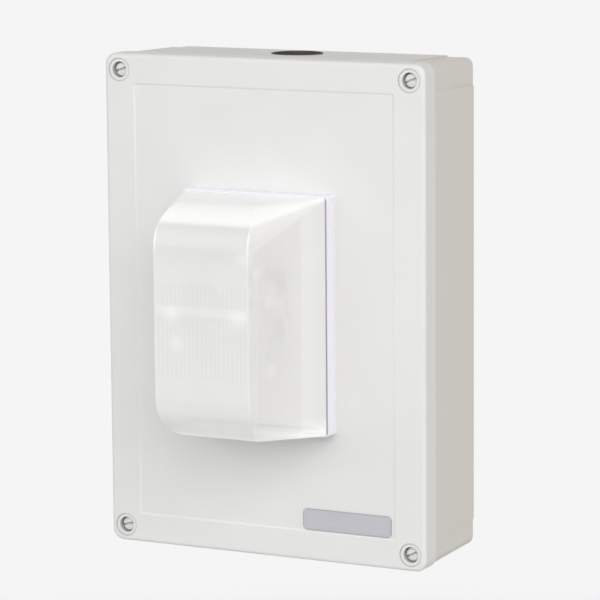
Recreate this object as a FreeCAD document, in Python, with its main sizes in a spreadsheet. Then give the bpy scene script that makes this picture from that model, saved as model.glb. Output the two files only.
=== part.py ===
import FreeCAD, Part
import math
import os
import re

import Sketcher
from FreeCAD import Placement, Rotation, Vector

# Wall-mounted alarm strobe light, in millimetres.
# The origin is the middle of the back face, which lies on the wall. +X is to the right of
# someone who faces the light, +Z is up and +Y points into the wall.
# A "level" is a distance out from the wall, so level 63 is the plane Y = -63.

SIZES = {
    # Enclosure
    "box_width": 180.0,
    "box_height": 254.0,
    "box_depth": 63.0,
    "box_corner": 6.0,
    "base_wall": 3.2,
    "base_floor": 3.2,
    "base_draft": 1.3,
    "back_round": 2.0,
    "corner_recess": 0.7,
    "corner_length": 14.5,
    "cavity_corner": 4.0,
    "cover_depth": 12.3,
    "cover_plate": 3.0,
    "cover_round": 2.0,
    "panel_inset_across": 16.6,
    "panel_inset_up": 14.9,
    "panel_corner": 1.6,
    "panel_depth": 0.45,
    "panel_draft": 65.0,
    "gasket_width": 2.0,
    "gasket_depth": 1.6,
    "gasket_inset": 0.6,
    # Cover screws and the corner blocks they turn into
    "screw_inset": 8.4,
    "post_reach": 7.2,
    "ring_radius": 5.8,
    "ring_depth": 0.5,
    "well_gap": 0.5,
    "well_depth": 6.5,
    "screw_head_radius": 3.6,
    "screw_head_depth": 2.6,
    "screw_slot": 1.1,
    "screw_shank_radius": 2.0,
    "screw_length": 20.0,
    "thread_gap": 0.05,
    "screw_gap": 0.4,
    "screw_tip_gap": 1.8,
    "core_radius": 4.6,
    "core_depth": 27.0,
    # Wall fixings and conduit entry
    "fixing_inset_across": 18.0,
    "fixing_inset_up": 27.0,
    "fixing_radius": 2.4,
    "fixing_boss_radius": 6.0,
    "fixing_boss_rise": 2.0,
    "conduit_across": 2.0,
    "conduit_level": 27.0,
    "conduit_radius": 12.75,
    # Bare name plate
    "name_width": 49.4,
    "name_height": 11.0,
    "name_depth": 0.5,
    "name_corner": 2.4,
    "name_gap_across": 2.3,
    "name_gap_up": 1.1,
    # Strobe back plate and its seal
    "plate_width": 81.0,
    "plate_height": 121.5,
    "plate_depth": 9.0,
    "plate_corner": 1.6,
    "plate_wall": 2.4,
    "plate_floor": 2.5,
    "seal_depth": 1.0,
    "seal_inset": 1.0,
    "seal_width": 1.4,
    "lead_hole_radius": 6.0,
    # Strobe lens
    "lens_edge_across": 0.5,
    "lens_edge_up": 0.75,
    "lens_depth": 55.2,
    "lens_corner": 1.2,
    "lens_wall": 2.4,
    "lens_inner_corner": 0.5,
    "lens_side_lean": 13.7,
    "lens_top_lean": 0.2,
    "lens_bottom_lean": 3.4,
    "lens_front_corner": 18.0,
    "top_shoulder": 21.5,
    "bottom_shoulder": 23.5,
    "flute_width": 1.0,
    "flute_pitch": 2.4,
    "flute_rise": 0.6,
    "flute_end_gap": 1.5,
    "flute_split_up": 8.3,
    "flute_split": 4.5,
    "flute_margin": 2.0,
    "hook_up": 30.0,
    "hook_width": 9.0,
    "hook_thickness": 1.5,
    "hook_gap": 0.6,
    "hook_reach": 5.5,
    "hook_root": 3.5,
    # Strobe fixings
    "strobe_screw_across": 20.0,
    "strobe_screw_up": 38.0,
    "strobe_screw_radius": 1.9,
    "strobe_head_radius": 3.4,
    "strobe_head_depth": 2.0,
    "strobe_screw_gap": 0.2,
    "strobe_screw_tail": 2.0,
    "nut_size": 7.0,
    "nut_depth": 3.2,
    # Strobe board and the parts on it
    "board_edge_across": 5.5,
    "board_edge_up": 4.75,
    "board_depth": 1.6,
    "board_corner": 1.5,
    "post_inset_across": 7.0,
    "post_inset_up": 7.5,
    "strobe_post_radius": 3.0,
    "strobe_post_rise": 3.6,
    "small_screw_radius": 1.25,
    "small_head_radius": 2.6,
    "small_head_depth": 1.8,
    "small_screw_length": 6.0,
    "small_screw_slot": 0.7,
    "board_hole_gap": 0.25,
    "guard_edge": 1.0,
    "guard_rise": 21.5,
    "guard_corner": 3.0,
    "guard_draft": 7.5,
    "guard_wall": 1.5,
    "guard_window_gap": 2.0,
    "reflector_overhang": 2.0,
    "reflector_height": 80.0,
    "reflector_wall": 1.0,
    "reflector_setback": 23.0,
    "trough_radius": 15.0,
    "reflector_leg_radius": 2.2,
    "reflector_leg_inset": 5.5,
    "tube_up": 8.0,
    "tube_setback": 7.0,
    "tube_radius": 2.4,
    "tube_end_room": 14.0,
    "tube_cap_radius": 2.9,
    "tube_cap_length": 4.0,
    "tube_cap_wall": 0.5,
    "tube_pin_radius": 0.8,
    "holder_reach": 5.0,
    "holder_width": 3.0,
    "holder_height": 9.0,
    "holder_rim": 2.4,
    "flash_can_radius": 8.0,
    "flash_can_length": 30.0,
    "flash_can_edge": 12.0,
    "coil_width": 12.0,
    "coil_height": 14.0,
    "coil_rise": 11.0,
    "coil_across": -16.0,
    "coil_edge": 5.0,
    "choke_radius": 6.0,
    "choke_bore": 2.0,
    "choke_rise": 8.0,
    "choke_across": 4.0,
    "choke_edge": 8.0,
    # Control board and the parts on it
    "control_width": 118.0,
    "control_height": 168.0,
    "control_up": -22.0,
    "control_post_across": 54.0,
    "control_post_up": 79.0,
    "control_post_radius": 3.6,
    "control_post_rise": 8.0,
    "core_width": 46.0,
    "core_height": 38.0,
    "core_rise": 16.0,
    "core_leg": 8.0,
    "winding_rise": 30.0,
    "core_lift": 7.0,
    "transformer_across": -24.0,
    "transformer_up": -66.0,
    "terminal_ways": 6,
    "terminal_pitch": 7.5,
    "terminal_height": 11.0,
    "terminal_rise": 14.0,
    "terminal_across": 14.0,
    "terminal_up": 50.0,
    "terminal_screw_radius": 1.9,
    "terminal_screw_depth": 5.0,
    "terminal_mouth": 4.6,
    "terminal_mouth_depth": 6.0,
    "relay_width": 15.0,
    "relay_height": 19.0,
    "relay_rise": 15.5,
    "relay_across": 30.0,
    "relay_up": 14.0,
    "fuse_radius": 2.6,
    "fuse_length": 20.0,
    "fuse_cap_length": 5.0,
    "clip_wall": 0.6,
    "fuse_lift": 4.0,
    "fuse_across": -34.0,
    "fuse_up": 24.0,
    "supply_can_radius": 7.5,
    "supply_can_rise": 26.0,
    "supply_can_across": 38.0,
    "supply_can_up": -66.0,
    "supply_can_pitch": 19.0,
    "chip_width": 14.0,
    "chip_height": 14.0,
    "chip_rise": 1.8,
    "chip_across": 24.0,
    "chip_up": -26.0,
    "socket_width": 9.0,
    "socket_height": 7.0,
    "socket_rise": 8.0,
    "socket_across": -20.0,
    "socket_up": -18.0,
    "lead_radius": 1.7,
    "lead_straight": 16.0,
    "lead_bend": 9.0,
}


def shoulder_up(inset, radius, slope):
    """Give the formula for how far up or down the centre of a lens shoulder lies.

    The inset is 0 on the outside and the wall inside. The slope is that of the top or bottom.
    """
    return (
        f"lens_height / 2 - {inset} - (lens_depth - {radius}) * {slope}"
        f" - ({radius} - {inset}) * sqrt(1 + {slope} ^ 2)"
    )


# Places that follow from the sizes above
WORKED = {
    "base_depth": "box_depth - cover_depth",
    "screw_across": "box_width / 2 - screw_inset",
    "screw_up": "box_height / 2 - screw_inset",
    "cavity_across": "box_width / 2 - corner_recess - base_wall",
    "cavity_up": "box_height / 2 - corner_recess - base_wall",
    "narrow_across": "screw_across - post_reach",
    "narrow_up": "screw_up - post_reach",
    "cover_inside": "box_depth - cover_plate",
    "screw_seat": "box_depth - well_depth",
    "well_radius": "screw_head_radius + well_gap",
    "screw_hole_depth": "base_depth - screw_seat + screw_length + screw_tip_gap",
    "fixing_across": "box_width / 2 - fixing_inset_across",
    "fixing_up": "box_height / 2 - fixing_inset_up",
    "panel_level": "box_depth - panel_depth",
    "panel_right": "box_width / 2 - panel_inset_across",
    "panel_bottom": "panel_inset_up - box_height / 2",
    "name_across": "panel_right - name_gap_across - name_width / 2",
    "name_up": "panel_bottom + name_gap_up + name_height / 2",
    "plate_inside": "panel_level + plate_floor",
    "seal_level": "panel_level + plate_depth",
    "lens_level": "seal_level + seal_depth",
    "lens_front": "lens_level + lens_depth",
    "lens_width": "plate_width - 2 * lens_edge_across",
    "lens_height": "plate_height - 2 * lens_edge_up",
    "lens_front_width": "lens_width - 2 * lens_side_lean",
    "lens_front_top": "lens_height / 2 - lens_top_lean",
    "lens_front_bottom": "lens_height / 2 - lens_bottom_lean",
    "top_slope": "lens_top_lean / lens_depth",
    "bottom_slope": "lens_bottom_lean / lens_depth",
    "side_slope": "lens_side_lean / lens_depth",
    "flat_top": shoulder_up("lens_wall", "top_shoulder", "top_slope"),
    "flat_bottom": shoulder_up("lens_wall", "bottom_shoulder", "bottom_slope"),
    "flute_top": "flat_top - flute_end_gap",
    "flute_bottom": "flute_end_gap - flat_bottom",
    "flute_room": "lens_front_width / 2 - lens_wall - flute_margin",
    "flute_count": "2 * floor(flute_room / flute_pitch) + 1",
    "flute_start": "-(flute_count - 1) / 2 * flute_pitch",
    "hook_across": "plate_width / 2 - plate_wall - hook_gap - hook_thickness / 2",
    "strobe_board_width": "plate_width - 2 * board_edge_across",
    "strobe_board_height": "plate_height - 2 * board_edge_up",
    "strobe_board_level": "plate_inside + strobe_post_rise",
    "strobe_parts_level": "strobe_board_level + board_depth",
    "strobe_post_across": "strobe_board_width / 2 - post_inset_across",
    "strobe_post_up": "strobe_board_height / 2 - post_inset_up",
    "guard_width": "strobe_board_width - 2 * guard_edge",
    "guard_height": "strobe_board_height - 2 * guard_edge",
    "guard_level": "strobe_parts_level + guard_rise",
    "reflector_level": "lens_front - reflector_setback",
    "tube_level": "reflector_level - tube_setback",
    "tube_length": "strobe_board_width - 2 * tube_end_room",
    "holder_across": "tube_length / 2 + holder_reach",
    "reflector_width": "tube_length + 2 * reflector_overhang",
    "reflector_leg_across": "reflector_width / 2 - reflector_leg_inset",
    "reflector_leg_up": "reflector_height / 2 - reflector_leg_inset",
    "flash_can_up": "flash_can_edge + flash_can_radius - strobe_board_height / 2",
    "coil_up": "strobe_board_height / 2 - coil_edge - coil_height / 2",
    "choke_up": "strobe_board_height / 2 - choke_edge - choke_radius",
    "control_board_level": "base_floor + control_post_rise",
    "control_parts_level": "control_board_level + board_depth",
}

OUTWARD = Rotation(Vector(1, 0, 0), 90)
ACROSS = Rotation(Vector(0, 1, 0), 90)
CORNERS = ((1, 1), (-1, 1), (-1, -1), (1, -1))
SIDES = (("right", 1), ("left", -1))

doc = FreeCAD.newDocument("AlarmStrobe")
sheet = doc.addObject("Spreadsheet::Sheet", "Sizes")


def fill_sheet():
    """Write each size and each worked-out place into the sheet, beside its name."""
    rows = [(name, str(value)) for name, value in SIZES.items()]
    rows += [(name, "=" + formula) for name, formula in WORKED.items()]
    for row, (name, content) in enumerate(rows, start=1):
        sheet.set(f"A{row}", name)
        sheet.set(f"B{row}", content)
        sheet.setAlias(f"B{row}", name)
    doc.recompute()


def worth(text):
    """Give the number that a formula of sheet names has now."""
    return float(sheet.evalExpression(text))


def bind(thing, prop, text):
    """Tie one property of an object to a formula of sheet names."""
    thing.setExpression(prop, re.sub(r"\b([a-z]+(?:_[a-z]+)+)\b", r"Sizes.\1", text))


# Sketches and features of a body

def new_body(label):
    """Start an empty body with its label."""
    body = doc.addObject("PartDesign::Body", label)
    body.Label = label
    return body


def sketch_on(body, role, name, level, across="0", up="0"):
    """Start a sketch on one origin plane of its body, moved out along the plane's normal."""
    plane = next(item for item in body.Origin.OriginFeatures if item.Role == role)
    sketch = body.newObject("Sketcher::SketchObject", name)
    sketch.AttachmentSupport = [(plane, "")]
    sketch.MapMode = "FlatFace"
    bind(sketch, "AttachmentOffset.Base.x", across)
    bind(sketch, "AttachmentOffset.Base.y", up)
    bind(sketch, "AttachmentOffset.Base.z", level)
    return sketch


def wall_sketch(body, name, level, across="0", up="0"):
    """Start a sketch parallel to the wall: its X is across and its Y is up."""
    return sketch_on(body, "XZ_Plane", name, level, across, up)


def hold(sketch, kind, geometry, vertex, text):
    """Hold a point at a distance from the sketch's origin, whichever side it lies on."""
    value = worth(text)
    if value < 0:
        index = sketch.addConstraint(Sketcher.Constraint(kind, geometry, vertex, -1, 1, -value))
        bind(sketch, f"Constraints[{index}]", f"-({text})")
    else:
        index = sketch.addConstraint(Sketcher.Constraint(kind, -1, 1, geometry, vertex, value))
        bind(sketch, f"Constraints[{index}]", text)


def square_outline(sketch, corners, radius=None):
    """Draw a closed outline of upright and level lines, with every corner rounded alike.

    The corners are pairs of formulas and run round the outline, a level line first.
    """
    points = [Vector(worth(across), worth(up), 0) for across, up in corners]
    count = len(points)
    round_by = worth(radius) if radius else 0.0
    ways = [(points[(i + 1) % count] - points[i]).normalize() for i in range(count)]
    first = sketch.GeometryCount
    step = 2 if radius else 1
    for i in range(count):
        following = points[(i + 1) % count]
        start = points[i] + ways[i] * round_by
        end = following - ways[i] * round_by
        sketch.addGeometry(Part.LineSegment(start, end))
        if radius:
            turn = ways[(i + 1) % count]
            centre = end + turn * round_by
            middle = centre + (ways[i] - turn).normalize() * round_by
            sketch.addGeometry(Part.Arc(end, middle, following + turn * round_by))
    total = count * step
    for i in range(count):
        line = first + i * step
        sketch.addConstraint(Sketcher.Constraint("Vertical" if i % 2 else "Horizontal", line))
        if radius:
            arc = line + 1
            following = first + (i * step + 2) % total
            turns_left = ways[i].cross(ways[(i + 1) % count]).z > 0
            arc_start, arc_end = (1, 2) if turns_left else (2, 1)
            sketch.addConstraint(Sketcher.Constraint("Tangent", line, 2, arc, arc_start))
            sketch.addConstraint(Sketcher.Constraint("Tangent", arc, arc_end, following, 1))
            if i:
                sketch.addConstraint(Sketcher.Constraint("Equal", first + 1, arc))
            else:
                index = sketch.addConstraint(Sketcher.Constraint("Radius", arc, round_by))
                bind(sketch, f"Constraints[{index}]", radius)
        else:
            following = first + (i + 1) % count
            sketch.addConstraint(Sketcher.Constraint("Coincident", line, 2, following, 1))
    for i, (across, up) in enumerate(corners):
        line = first + i * step
        if i % 2:
            hold(sketch, "DistanceX", line, 1, across)
        else:
            hold(sketch, "DistanceY", line, 1, up)


def rectangle(sketch, half_width, half_height, radius=None):
    """Draw a rectangle round the sketch's origin."""
    square_outline(
        sketch,
        (
            (f"-({half_width})", f"-({half_height})"),
            (half_width, f"-({half_height})"),
            (half_width, half_height),
            (f"-({half_width})", half_height),
        ),
        radius,
    )


def cavity_outline(sketch, grow, radius):
    """Draw the outline of the room inside, which steps in round the four corner blocks."""
    wide = f"cavity_across + {grow}"
    tall = f"cavity_up + {grow}"
    narrow = f"narrow_across + {grow}"
    short = f"narrow_up + {grow}"
    square_outline(
        sketch,
        (
            (f"-({narrow})", f"-({tall})"),
            (narrow, f"-({tall})"),
            (narrow, f"-({short})"),
            (wide, f"-({short})"),
            (wide, short),
            (narrow, short),
            (narrow, tall),
            (f"-({narrow})", tall),
            (f"-({narrow})", short),
            (f"-({wide})", short),
            (f"-({wide})", f"-({short})"),
            (f"-({narrow})", f"-({short})"),
        ),
        radius,
    )


def circle(sketch, radius):
    """Draw a circle round the sketch's origin."""
    index = sketch.addGeometry(Part.Circle(Vector(0, 0, 0), Vector(0, 0, 1), worth(radius)))
    sketch.addConstraint(Sketcher.Constraint("Coincident", index, 3, -1, 1))
    fixed = sketch.addConstraint(Sketcher.Constraint("Radius", index, worth(radius)))
    bind(sketch, f"Constraints[{fixed}]", radius)


def four_circles(sketch, across, up, radius):
    """Draw one circle in each quarter of the sketch, mirrored about both axes."""
    centres = [Vector(x * worth(across), y * worth(up), 0) for x, y in CORNERS]
    made = [
        sketch.addGeometry(Part.Circle(centre, Vector(0, 0, 1), worth(radius)))
        for centre in centres
    ]
    fixed = sketch.addConstraint(Sketcher.Constraint("Radius", made[0], worth(radius)))
    bind(sketch, f"Constraints[{fixed}]", radius)
    hold(sketch, "DistanceX", made[0], 3, across)
    hold(sketch, "DistanceY", made[0], 3, up)
    for other in made[1:]:
        sketch.addConstraint(Sketcher.Constraint("Equal", made[0], other))
    sketch.addConstraint(Sketcher.Constraint("Symmetric", made[0], 3, made[1], 3, -2))
    sketch.addConstraint(Sketcher.Constraint("Symmetric", made[0], 3, made[2], 3, -1, 1))
    sketch.addConstraint(Sketcher.Constraint("Symmetric", made[0], 3, made[3], 3, -1))


def add_feature(body, kind, profile, length, reverse, taper, midplane):
    """Add a pad or a pocket of a sketch; its length and taper are formulas."""
    feature = body.newObject(kind, f"{profile.Name}_{kind[12:]}")
    feature.Profile = profile
    feature.Reversed = reverse
    feature.Midplane = midplane
    bind(feature, "Length", length)
    if taper:
        bind(feature, "TaperAngle", taper)
    return feature


def pad(body, profile, length, reverse=False, taper=None, midplane=False):
    """Raise a sketch out from the wall, or back towards it if reversed."""
    return add_feature(body, "PartDesign::Pad", profile, length, reverse, taper, midplane)


def pocket(body, profile, length, reverse=False, taper=None, midplane=False):
    """Cut a sketch in towards the wall, or outwards if reversed, and see that it cut."""
    doc.recompute()
    before = body.Shape.Volume
    feature = add_feature(body, "PartDesign::Pocket", profile, length, reverse, taper, midplane)
    doc.recompute()
    if body.Shape.Volume >= before:
        raise RuntimeError(f"{feature.Name} cuts nothing")
    return feature


def round_edges(body, name, radius, wanted):
    """Round the edges of a body's last feature that the test picks."""
    doc.recompute()
    base = body.Tip
    picked = [f"Edge{i}" for i, edge in enumerate(base.Shape.Edges, start=1) if wanted(edge)]
    if not picked:
        raise RuntimeError(f"{name} finds no edge")
    feature = body.newObject("PartDesign::Fillet", name)
    feature.Base = (base, picked)
    bind(feature, "Radius", radius)
    return feature


def at_level(edge, level, slack=0.01):
    """Tell whether a whole edge lies at one distance from the wall."""
    box = edge.BoundBox
    place = -worth(level)
    return abs(box.YMin - place) < slack and abs(box.YMax - place) < slack


# Plain solids

def place(thing, across, level, up, turn=None):
    """Tie the place of a plain solid to formulas."""
    thing.Placement = Placement(Vector(0, 0, 0), turn or Rotation())
    bind(thing, "Placement.Base.x", across)
    bind(thing, "Placement.Base.y", f"-({level})")
    bind(thing, "Placement.Base.z", up)


def block(name, across, up, level, width, height, rise):
    """Make a block centred on a point of the wall plane, from one level outwards."""
    thing = doc.addObject("Part::Box", name)
    bind(thing, "Length", width)
    bind(thing, "Width", rise)
    bind(thing, "Height", height)
    place(
        thing,
        f"{across} - ({width}) / 2",
        f"{level} + ({rise})",
        f"{up} - ({height}) / 2",
    )
    return thing


def peg(name, across, up, level, rise, radius):
    """Make a round peg that stands out from one level."""
    thing = doc.addObject("Part::Cylinder", name)
    bind(thing, "Radius", radius)
    bind(thing, "Height", rise)
    place(thing, across, level, up, OUTWARD)
    return thing


def rod(name, across, up, level, length, radius):
    """Make a round rod that lies across, centred on a point."""
    thing = doc.addObject("Part::Cylinder", name)
    bind(thing, "Radius", radius)
    bind(thing, "Height", length)
    place(thing, f"{across} - ({length}) / 2", level, up, ACROSS)
    return thing


def fuse(name, parts):
    """Join plain solids into one."""
    thing = doc.addObject("Part::MultiFuse", name)
    thing.Shapes = parts
    thing.Refine = True
    return thing


def cut(name, base, tools):
    """Cut one or more tools out of a solid."""
    thing = doc.addObject("Part::Cut", name)
    thing.Base = base
    thing.Tool = tools[0] if len(tools) == 1 else fuse(f"{name}_tools", tools)
    return thing


def bore(name, base, radius, across, up, level, rise):
    """Drill a round hole through a solid."""
    return cut(name, base, [peg(f"{name}_drill", across, up, level, rise, radius)])


def group(label, members):
    """Gather like solids, which stay separate, under one name."""
    thing = doc.addObject("Part::Compound", label)
    thing.Links = members
    thing.Label = label
    return thing


def labelled(thing, label):
    """Name the finished piece."""
    thing.Label = label
    return thing


def screw(name, across, up, seat, head, shank, slot):
    """Make a slotted screw whose head sits on a level; head and shank are radius and length."""
    head_radius, head_depth = head
    shank_radius, shank_length = shank
    body = fuse(
        f"{name}_blank",
        [
            peg(f"{name}_head", across, up, seat, head_depth, head_radius),
            peg(
                f"{name}_shank",
                across,
                up,
                f"{seat} - ({shank_length})",
                f"{shank_length} + {head_depth} / 2",
                shank_radius,
            ),
        ],
    )
    groove = block(
        f"{name}_slot",
        across,
        up,
        f"{seat} + {head_depth} / 2",
        slot,
        f"3 * ({head_radius})",
        head_depth,
    )
    return cut(name, body, [groove])


def screw_set(label, across, up, seat, head, shank, slot, centre="0"):
    """Make four like screws, one at each corner of a rectangle."""
    members = []
    for number, (side, rise) in enumerate(CORNERS, start=1):
        members.append(
            screw(
                f"{label}_{number}",
                f"{side} * ({across})",
                f"{centre} + {rise} * ({up})",
                seat,
                head,
                shank,
                slot,
            )
        )
    return group(label, members)


# Enclosure

def make_enclosure_base():
    """Drafted box: recessed corners, flush panels, corner blocks, bosses and conduit hole."""
    body = new_body("enclosure_base")
    shell = wall_sketch(body, "base_outline", "base_depth")
    rectangle(
        shell,
        "box_width / 2 - corner_recess",
        "box_height / 2 - corner_recess",
        "box_corner - corner_recess",
    )
    pad(body, shell, "base_depth", reverse=True, taper="-base_draft")
    round_edges(body, "base_back_round", "back_round", lambda edge: at_level(edge, "0"))

    side_panels = wall_sketch(body, "side_panels", "base_depth")
    rectangle(side_panels, "box_width / 2", "box_height / 2 - corner_length")
    pad(body, side_panels, "base_depth - back_round", reverse=True, taper="-base_draft")
    end_panels = wall_sketch(body, "end_panels", "base_depth")
    rectangle(end_panels, "box_width / 2 - corner_length", "box_height / 2")
    pad(body, end_panels, "base_depth - back_round", reverse=True, taper="-base_draft")

    room = wall_sketch(body, "base_room", "base_depth")
    cavity_outline(room, "0", "cavity_corner")
    pocket(body, room, "base_depth - base_floor", taper="-base_draft")

    bosses = wall_sketch(body, "fixing_bosses", "base_floor / 2")
    four_circles(bosses, "fixing_across", "fixing_up", "fixing_boss_radius")
    pad(body, bosses, "base_floor / 2 + fixing_boss_rise")
    posts = wall_sketch(body, "board_posts", "base_floor / 2", up="control_up")
    four_circles(posts, "control_post_across", "control_post_up", "control_post_radius")
    pad(body, posts, "base_floor / 2 + control_post_rise")

    fixings = wall_sketch(body, "fixing_holes", "base_floor + fixing_boss_rise")
    four_circles(fixings, "fixing_across", "fixing_up", "fixing_radius")
    pocket(body, fixings, "base_floor + fixing_boss_rise")
    pilots = wall_sketch(body, "board_pilots", "control_board_level", up="control_up")
    four_circles(
        pilots,
        "control_post_across",
        "control_post_up",
        "small_screw_radius + thread_gap",
    )
    pocket(body, pilots, "small_screw_length")
    threads = wall_sketch(body, "cover_screw_holes", "base_depth")
    four_circles(threads, "screw_across", "screw_up", "screw_shank_radius + thread_gap")
    pocket(body, threads, "screw_hole_depth")
    cores = wall_sketch(body, "corner_cores", "0")
    four_circles(cores, "screw_across", "screw_up", "core_radius")
    pocket(body, cores, "core_depth", reverse=True)

    entry = sketch_on(
        body,
        "XY_Plane",
        "conduit_entry",
        "box_height / 2",
        across="conduit_across",
        up="-conduit_level",
    )
    circle(entry, "conduit_radius")
    pocket(body, entry, "3 * base_wall")
    return body


def make_enclosure_cover():
    """Lid with a rounded front, a slightly sunk panel, screw wells and a gasket channel."""
    body = new_body("enclosure_cover")
    outline = wall_sketch(body, "cover_outline", "base_depth")
    rectangle(outline, "box_width / 2", "box_height / 2", "box_corner")
    pad(body, outline, "cover_depth")
    round_edges(body, "cover_front_round", "cover_round", lambda edge: at_level(edge, "box_depth"))

    room = wall_sketch(body, "cover_room", "base_depth")
    cavity_outline(room, "0", "cavity_corner")
    pocket(body, room, "cover_depth - cover_plate", reverse=True)

    channel = wall_sketch(body, "gasket_channel", "base_depth")
    cavity_outline(channel, "gasket_inset + gasket_width", "cavity_corner")
    cavity_outline(channel, "gasket_inset", "cavity_corner")
    pocket(body, channel, "gasket_depth", reverse=True)

    panel = wall_sketch(body, "sunk_panel", "box_depth")
    rectangle(panel, "panel_right", "-panel_bottom", "panel_corner")
    pocket(body, panel, "panel_depth", taper="-panel_draft")

    rings = wall_sketch(body, "well_rings", "box_depth")
    four_circles(rings, "screw_across", "screw_up", "ring_radius")
    pocket(body, rings, "ring_depth")
    wells = wall_sketch(body, "screw_wells", "box_depth")
    four_circles(wells, "screw_across", "screw_up", "well_radius")
    pocket(body, wells, "well_depth")
    holes = wall_sketch(body, "screw_passages", "screw_seat")
    four_circles(holes, "screw_across", "screw_up", "screw_shank_radius + screw_gap")
    pocket(body, holes, "cover_depth")

    fixings = wall_sketch(body, "strobe_fixing_holes", "box_depth")
    four_circles(
        fixings,
        "strobe_screw_across",
        "strobe_screw_up",
        "strobe_screw_radius + strobe_screw_gap",
    )
    pocket(body, fixings, "2 * cover_plate")
    passage = wall_sketch(body, "lead_passage", "box_depth")
    circle(passage, "lead_hole_radius")
    pocket(body, passage, "2 * cover_plate")
    return body


def make_cover_gasket():
    """Rubber strip that lies in the cover's channel and on the base's rim."""
    body = new_body("cover_gasket")
    strip = wall_sketch(body, "gasket_outline", "base_depth")
    cavity_outline(strip, "gasket_inset + gasket_width", "cavity_corner")
    cavity_outline(strip, "gasket_inset", "cavity_corner")
    pad(body, strip, "gasket_depth")
    return body


def make_name_plate():
    """Bare plate with rounded corners, stuck on the cover."""
    body = new_body("name_plate")
    outline = wall_sketch(body, "name_outline", "panel_level", "name_across", "name_up")
    rectangle(outline, "name_width / 2", "name_height / 2", "name_corner")
    pad(body, outline, "name_depth")
    return body


# Strobe housing

def make_strobe_back_plate():
    """Shallow tray that carries the strobe, with posts for its board."""
    body = new_body("strobe_back_plate")
    outline = wall_sketch(body, "plate_outline", "panel_level")
    rectangle(outline, "plate_width / 2", "plate_height / 2", "plate_corner")
    pad(body, outline, "plate_depth")
    tray = wall_sketch(body, "plate_tray", "seal_level")
    rectangle(
        tray,
        "plate_width / 2 - plate_wall",
        "plate_height / 2 - plate_wall",
        "plate_corner",
    )
    pocket(body, tray, "plate_depth - plate_floor")
    posts = wall_sketch(body, "strobe_posts", "panel_level + plate_floor / 2")
    four_circles(posts, "strobe_post_across", "strobe_post_up", "strobe_post_radius")
    pad(body, posts, "plate_floor / 2 + strobe_post_rise")
    pilots = wall_sketch(body, "strobe_pilots", "strobe_board_level")
    four_circles(
        pilots,
        "strobe_post_across",
        "strobe_post_up",
        "small_screw_radius + thread_gap",
    )
    pocket(body, pilots, "small_screw_length")
    holes = wall_sketch(body, "plate_holes", "plate_inside")
    four_circles(
        holes,
        "strobe_screw_across",
        "strobe_screw_up",
        "strobe_screw_radius + strobe_screw_gap",
    )
    circle(holes, "lead_hole_radius")
    pocket(body, holes, "plate_floor")
    return body


def make_lens_seal():
    """Dark seal between the tray and the lens, set in from their edges."""
    body = new_body("lens_seal")
    ring = wall_sketch(body, "seal_ring", "seal_level")
    rectangle(
        ring,
        "plate_width / 2 - seal_inset",
        "plate_height / 2 - seal_inset",
        "plate_corner",
    )
    rectangle(
        ring,
        "plate_width / 2 - seal_inset - seal_width",
        "plate_height / 2 - seal_inset - seal_width",
        "plate_corner",
    )
    pad(body, ring, "seal_depth")
    return body


def trim_shoulder(body, name, side, inset, radius, slope):
    """Cut a front edge of the lens form away outside an arc that touches front and wall.

    side is 1 for the top edge and -1 for the bottom edge. The slope is that wall's.
    """
    bend = f"({radius} - {inset})"
    secant = f"sqrt(1 + {slope} ^ 2)"
    centre_up = shoulder_up(inset, radius, slope)
    centre_level = f"lens_front - {radius}"
    touch_level = f"{centre_level} + {bend} * {slope} / {secant}"
    outside_level = "lens_front + lens_wall"
    outside_up = "lens_height / 2 + lens_wall"
    sign = "" if side > 0 else "-"

    sketch = sketch_on(body, "YZ_Plane", name, "0")
    corners = (
        (touch_level, f"{centre_up} + {bend} / {secant}"),
        (f"lens_front - {inset}", centre_up),
        (outside_level, centre_up),
        (outside_level, outside_up),
        (touch_level, outside_up),
    )
    points = [Vector(-worth(level), side * worth(up), 0) for level, up in corners]
    centre = Vector(-worth(centre_level), side * worth(centre_up), 0)
    middle = centre + (points[0] + points[1] - centre * 2).normalize() * worth(bend)
    sketch.addGeometry(Part.Arc(points[0], middle, points[1]))
    for start, end in zip(points[1:], points[2:] + points[:1]):
        sketch.addGeometry(Part.LineSegment(start, end))
    arc_start, arc_end = (1, 2) if side > 0 else (2, 1)
    sketch.addConstraint(Sketcher.Constraint("Coincident", 0, arc_end, 1, 1))
    for line in (1, 2, 3):
        sketch.addConstraint(Sketcher.Constraint("Coincident", line, 2, line + 1, 1))
    sketch.addConstraint(Sketcher.Constraint("Coincident", 4, 2, 0, arc_start))
    for line, way in ((1, "Horizontal"), (2, "Vertical"), (3, "Horizontal"), (4, "Vertical")):
        sketch.addConstraint(Sketcher.Constraint(way, line))
    fixed = sketch.addConstraint(Sketcher.Constraint("Radius", 0, worth(bend)))
    bind(sketch, f"Constraints[{fixed}]", bend)
    hold(sketch, "DistanceX", 0, 3, f"-({centre_level})")
    hold(sketch, "DistanceY", 0, 3, f"{sign}({centre_up})")
    hold(sketch, "DistanceX", 4, 2, f"-({touch_level})")
    hold(sketch, "DistanceX", 2, 1, f"-({outside_level})")
    hold(sketch, "DistanceY", 3, 1, f"{sign}({outside_up})")
    hold(sketch, "DistanceY", 1, 1, f"{sign}({centre_up})")
    pocket(body, sketch, "2 * lens_width", midplane=True)


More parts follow.
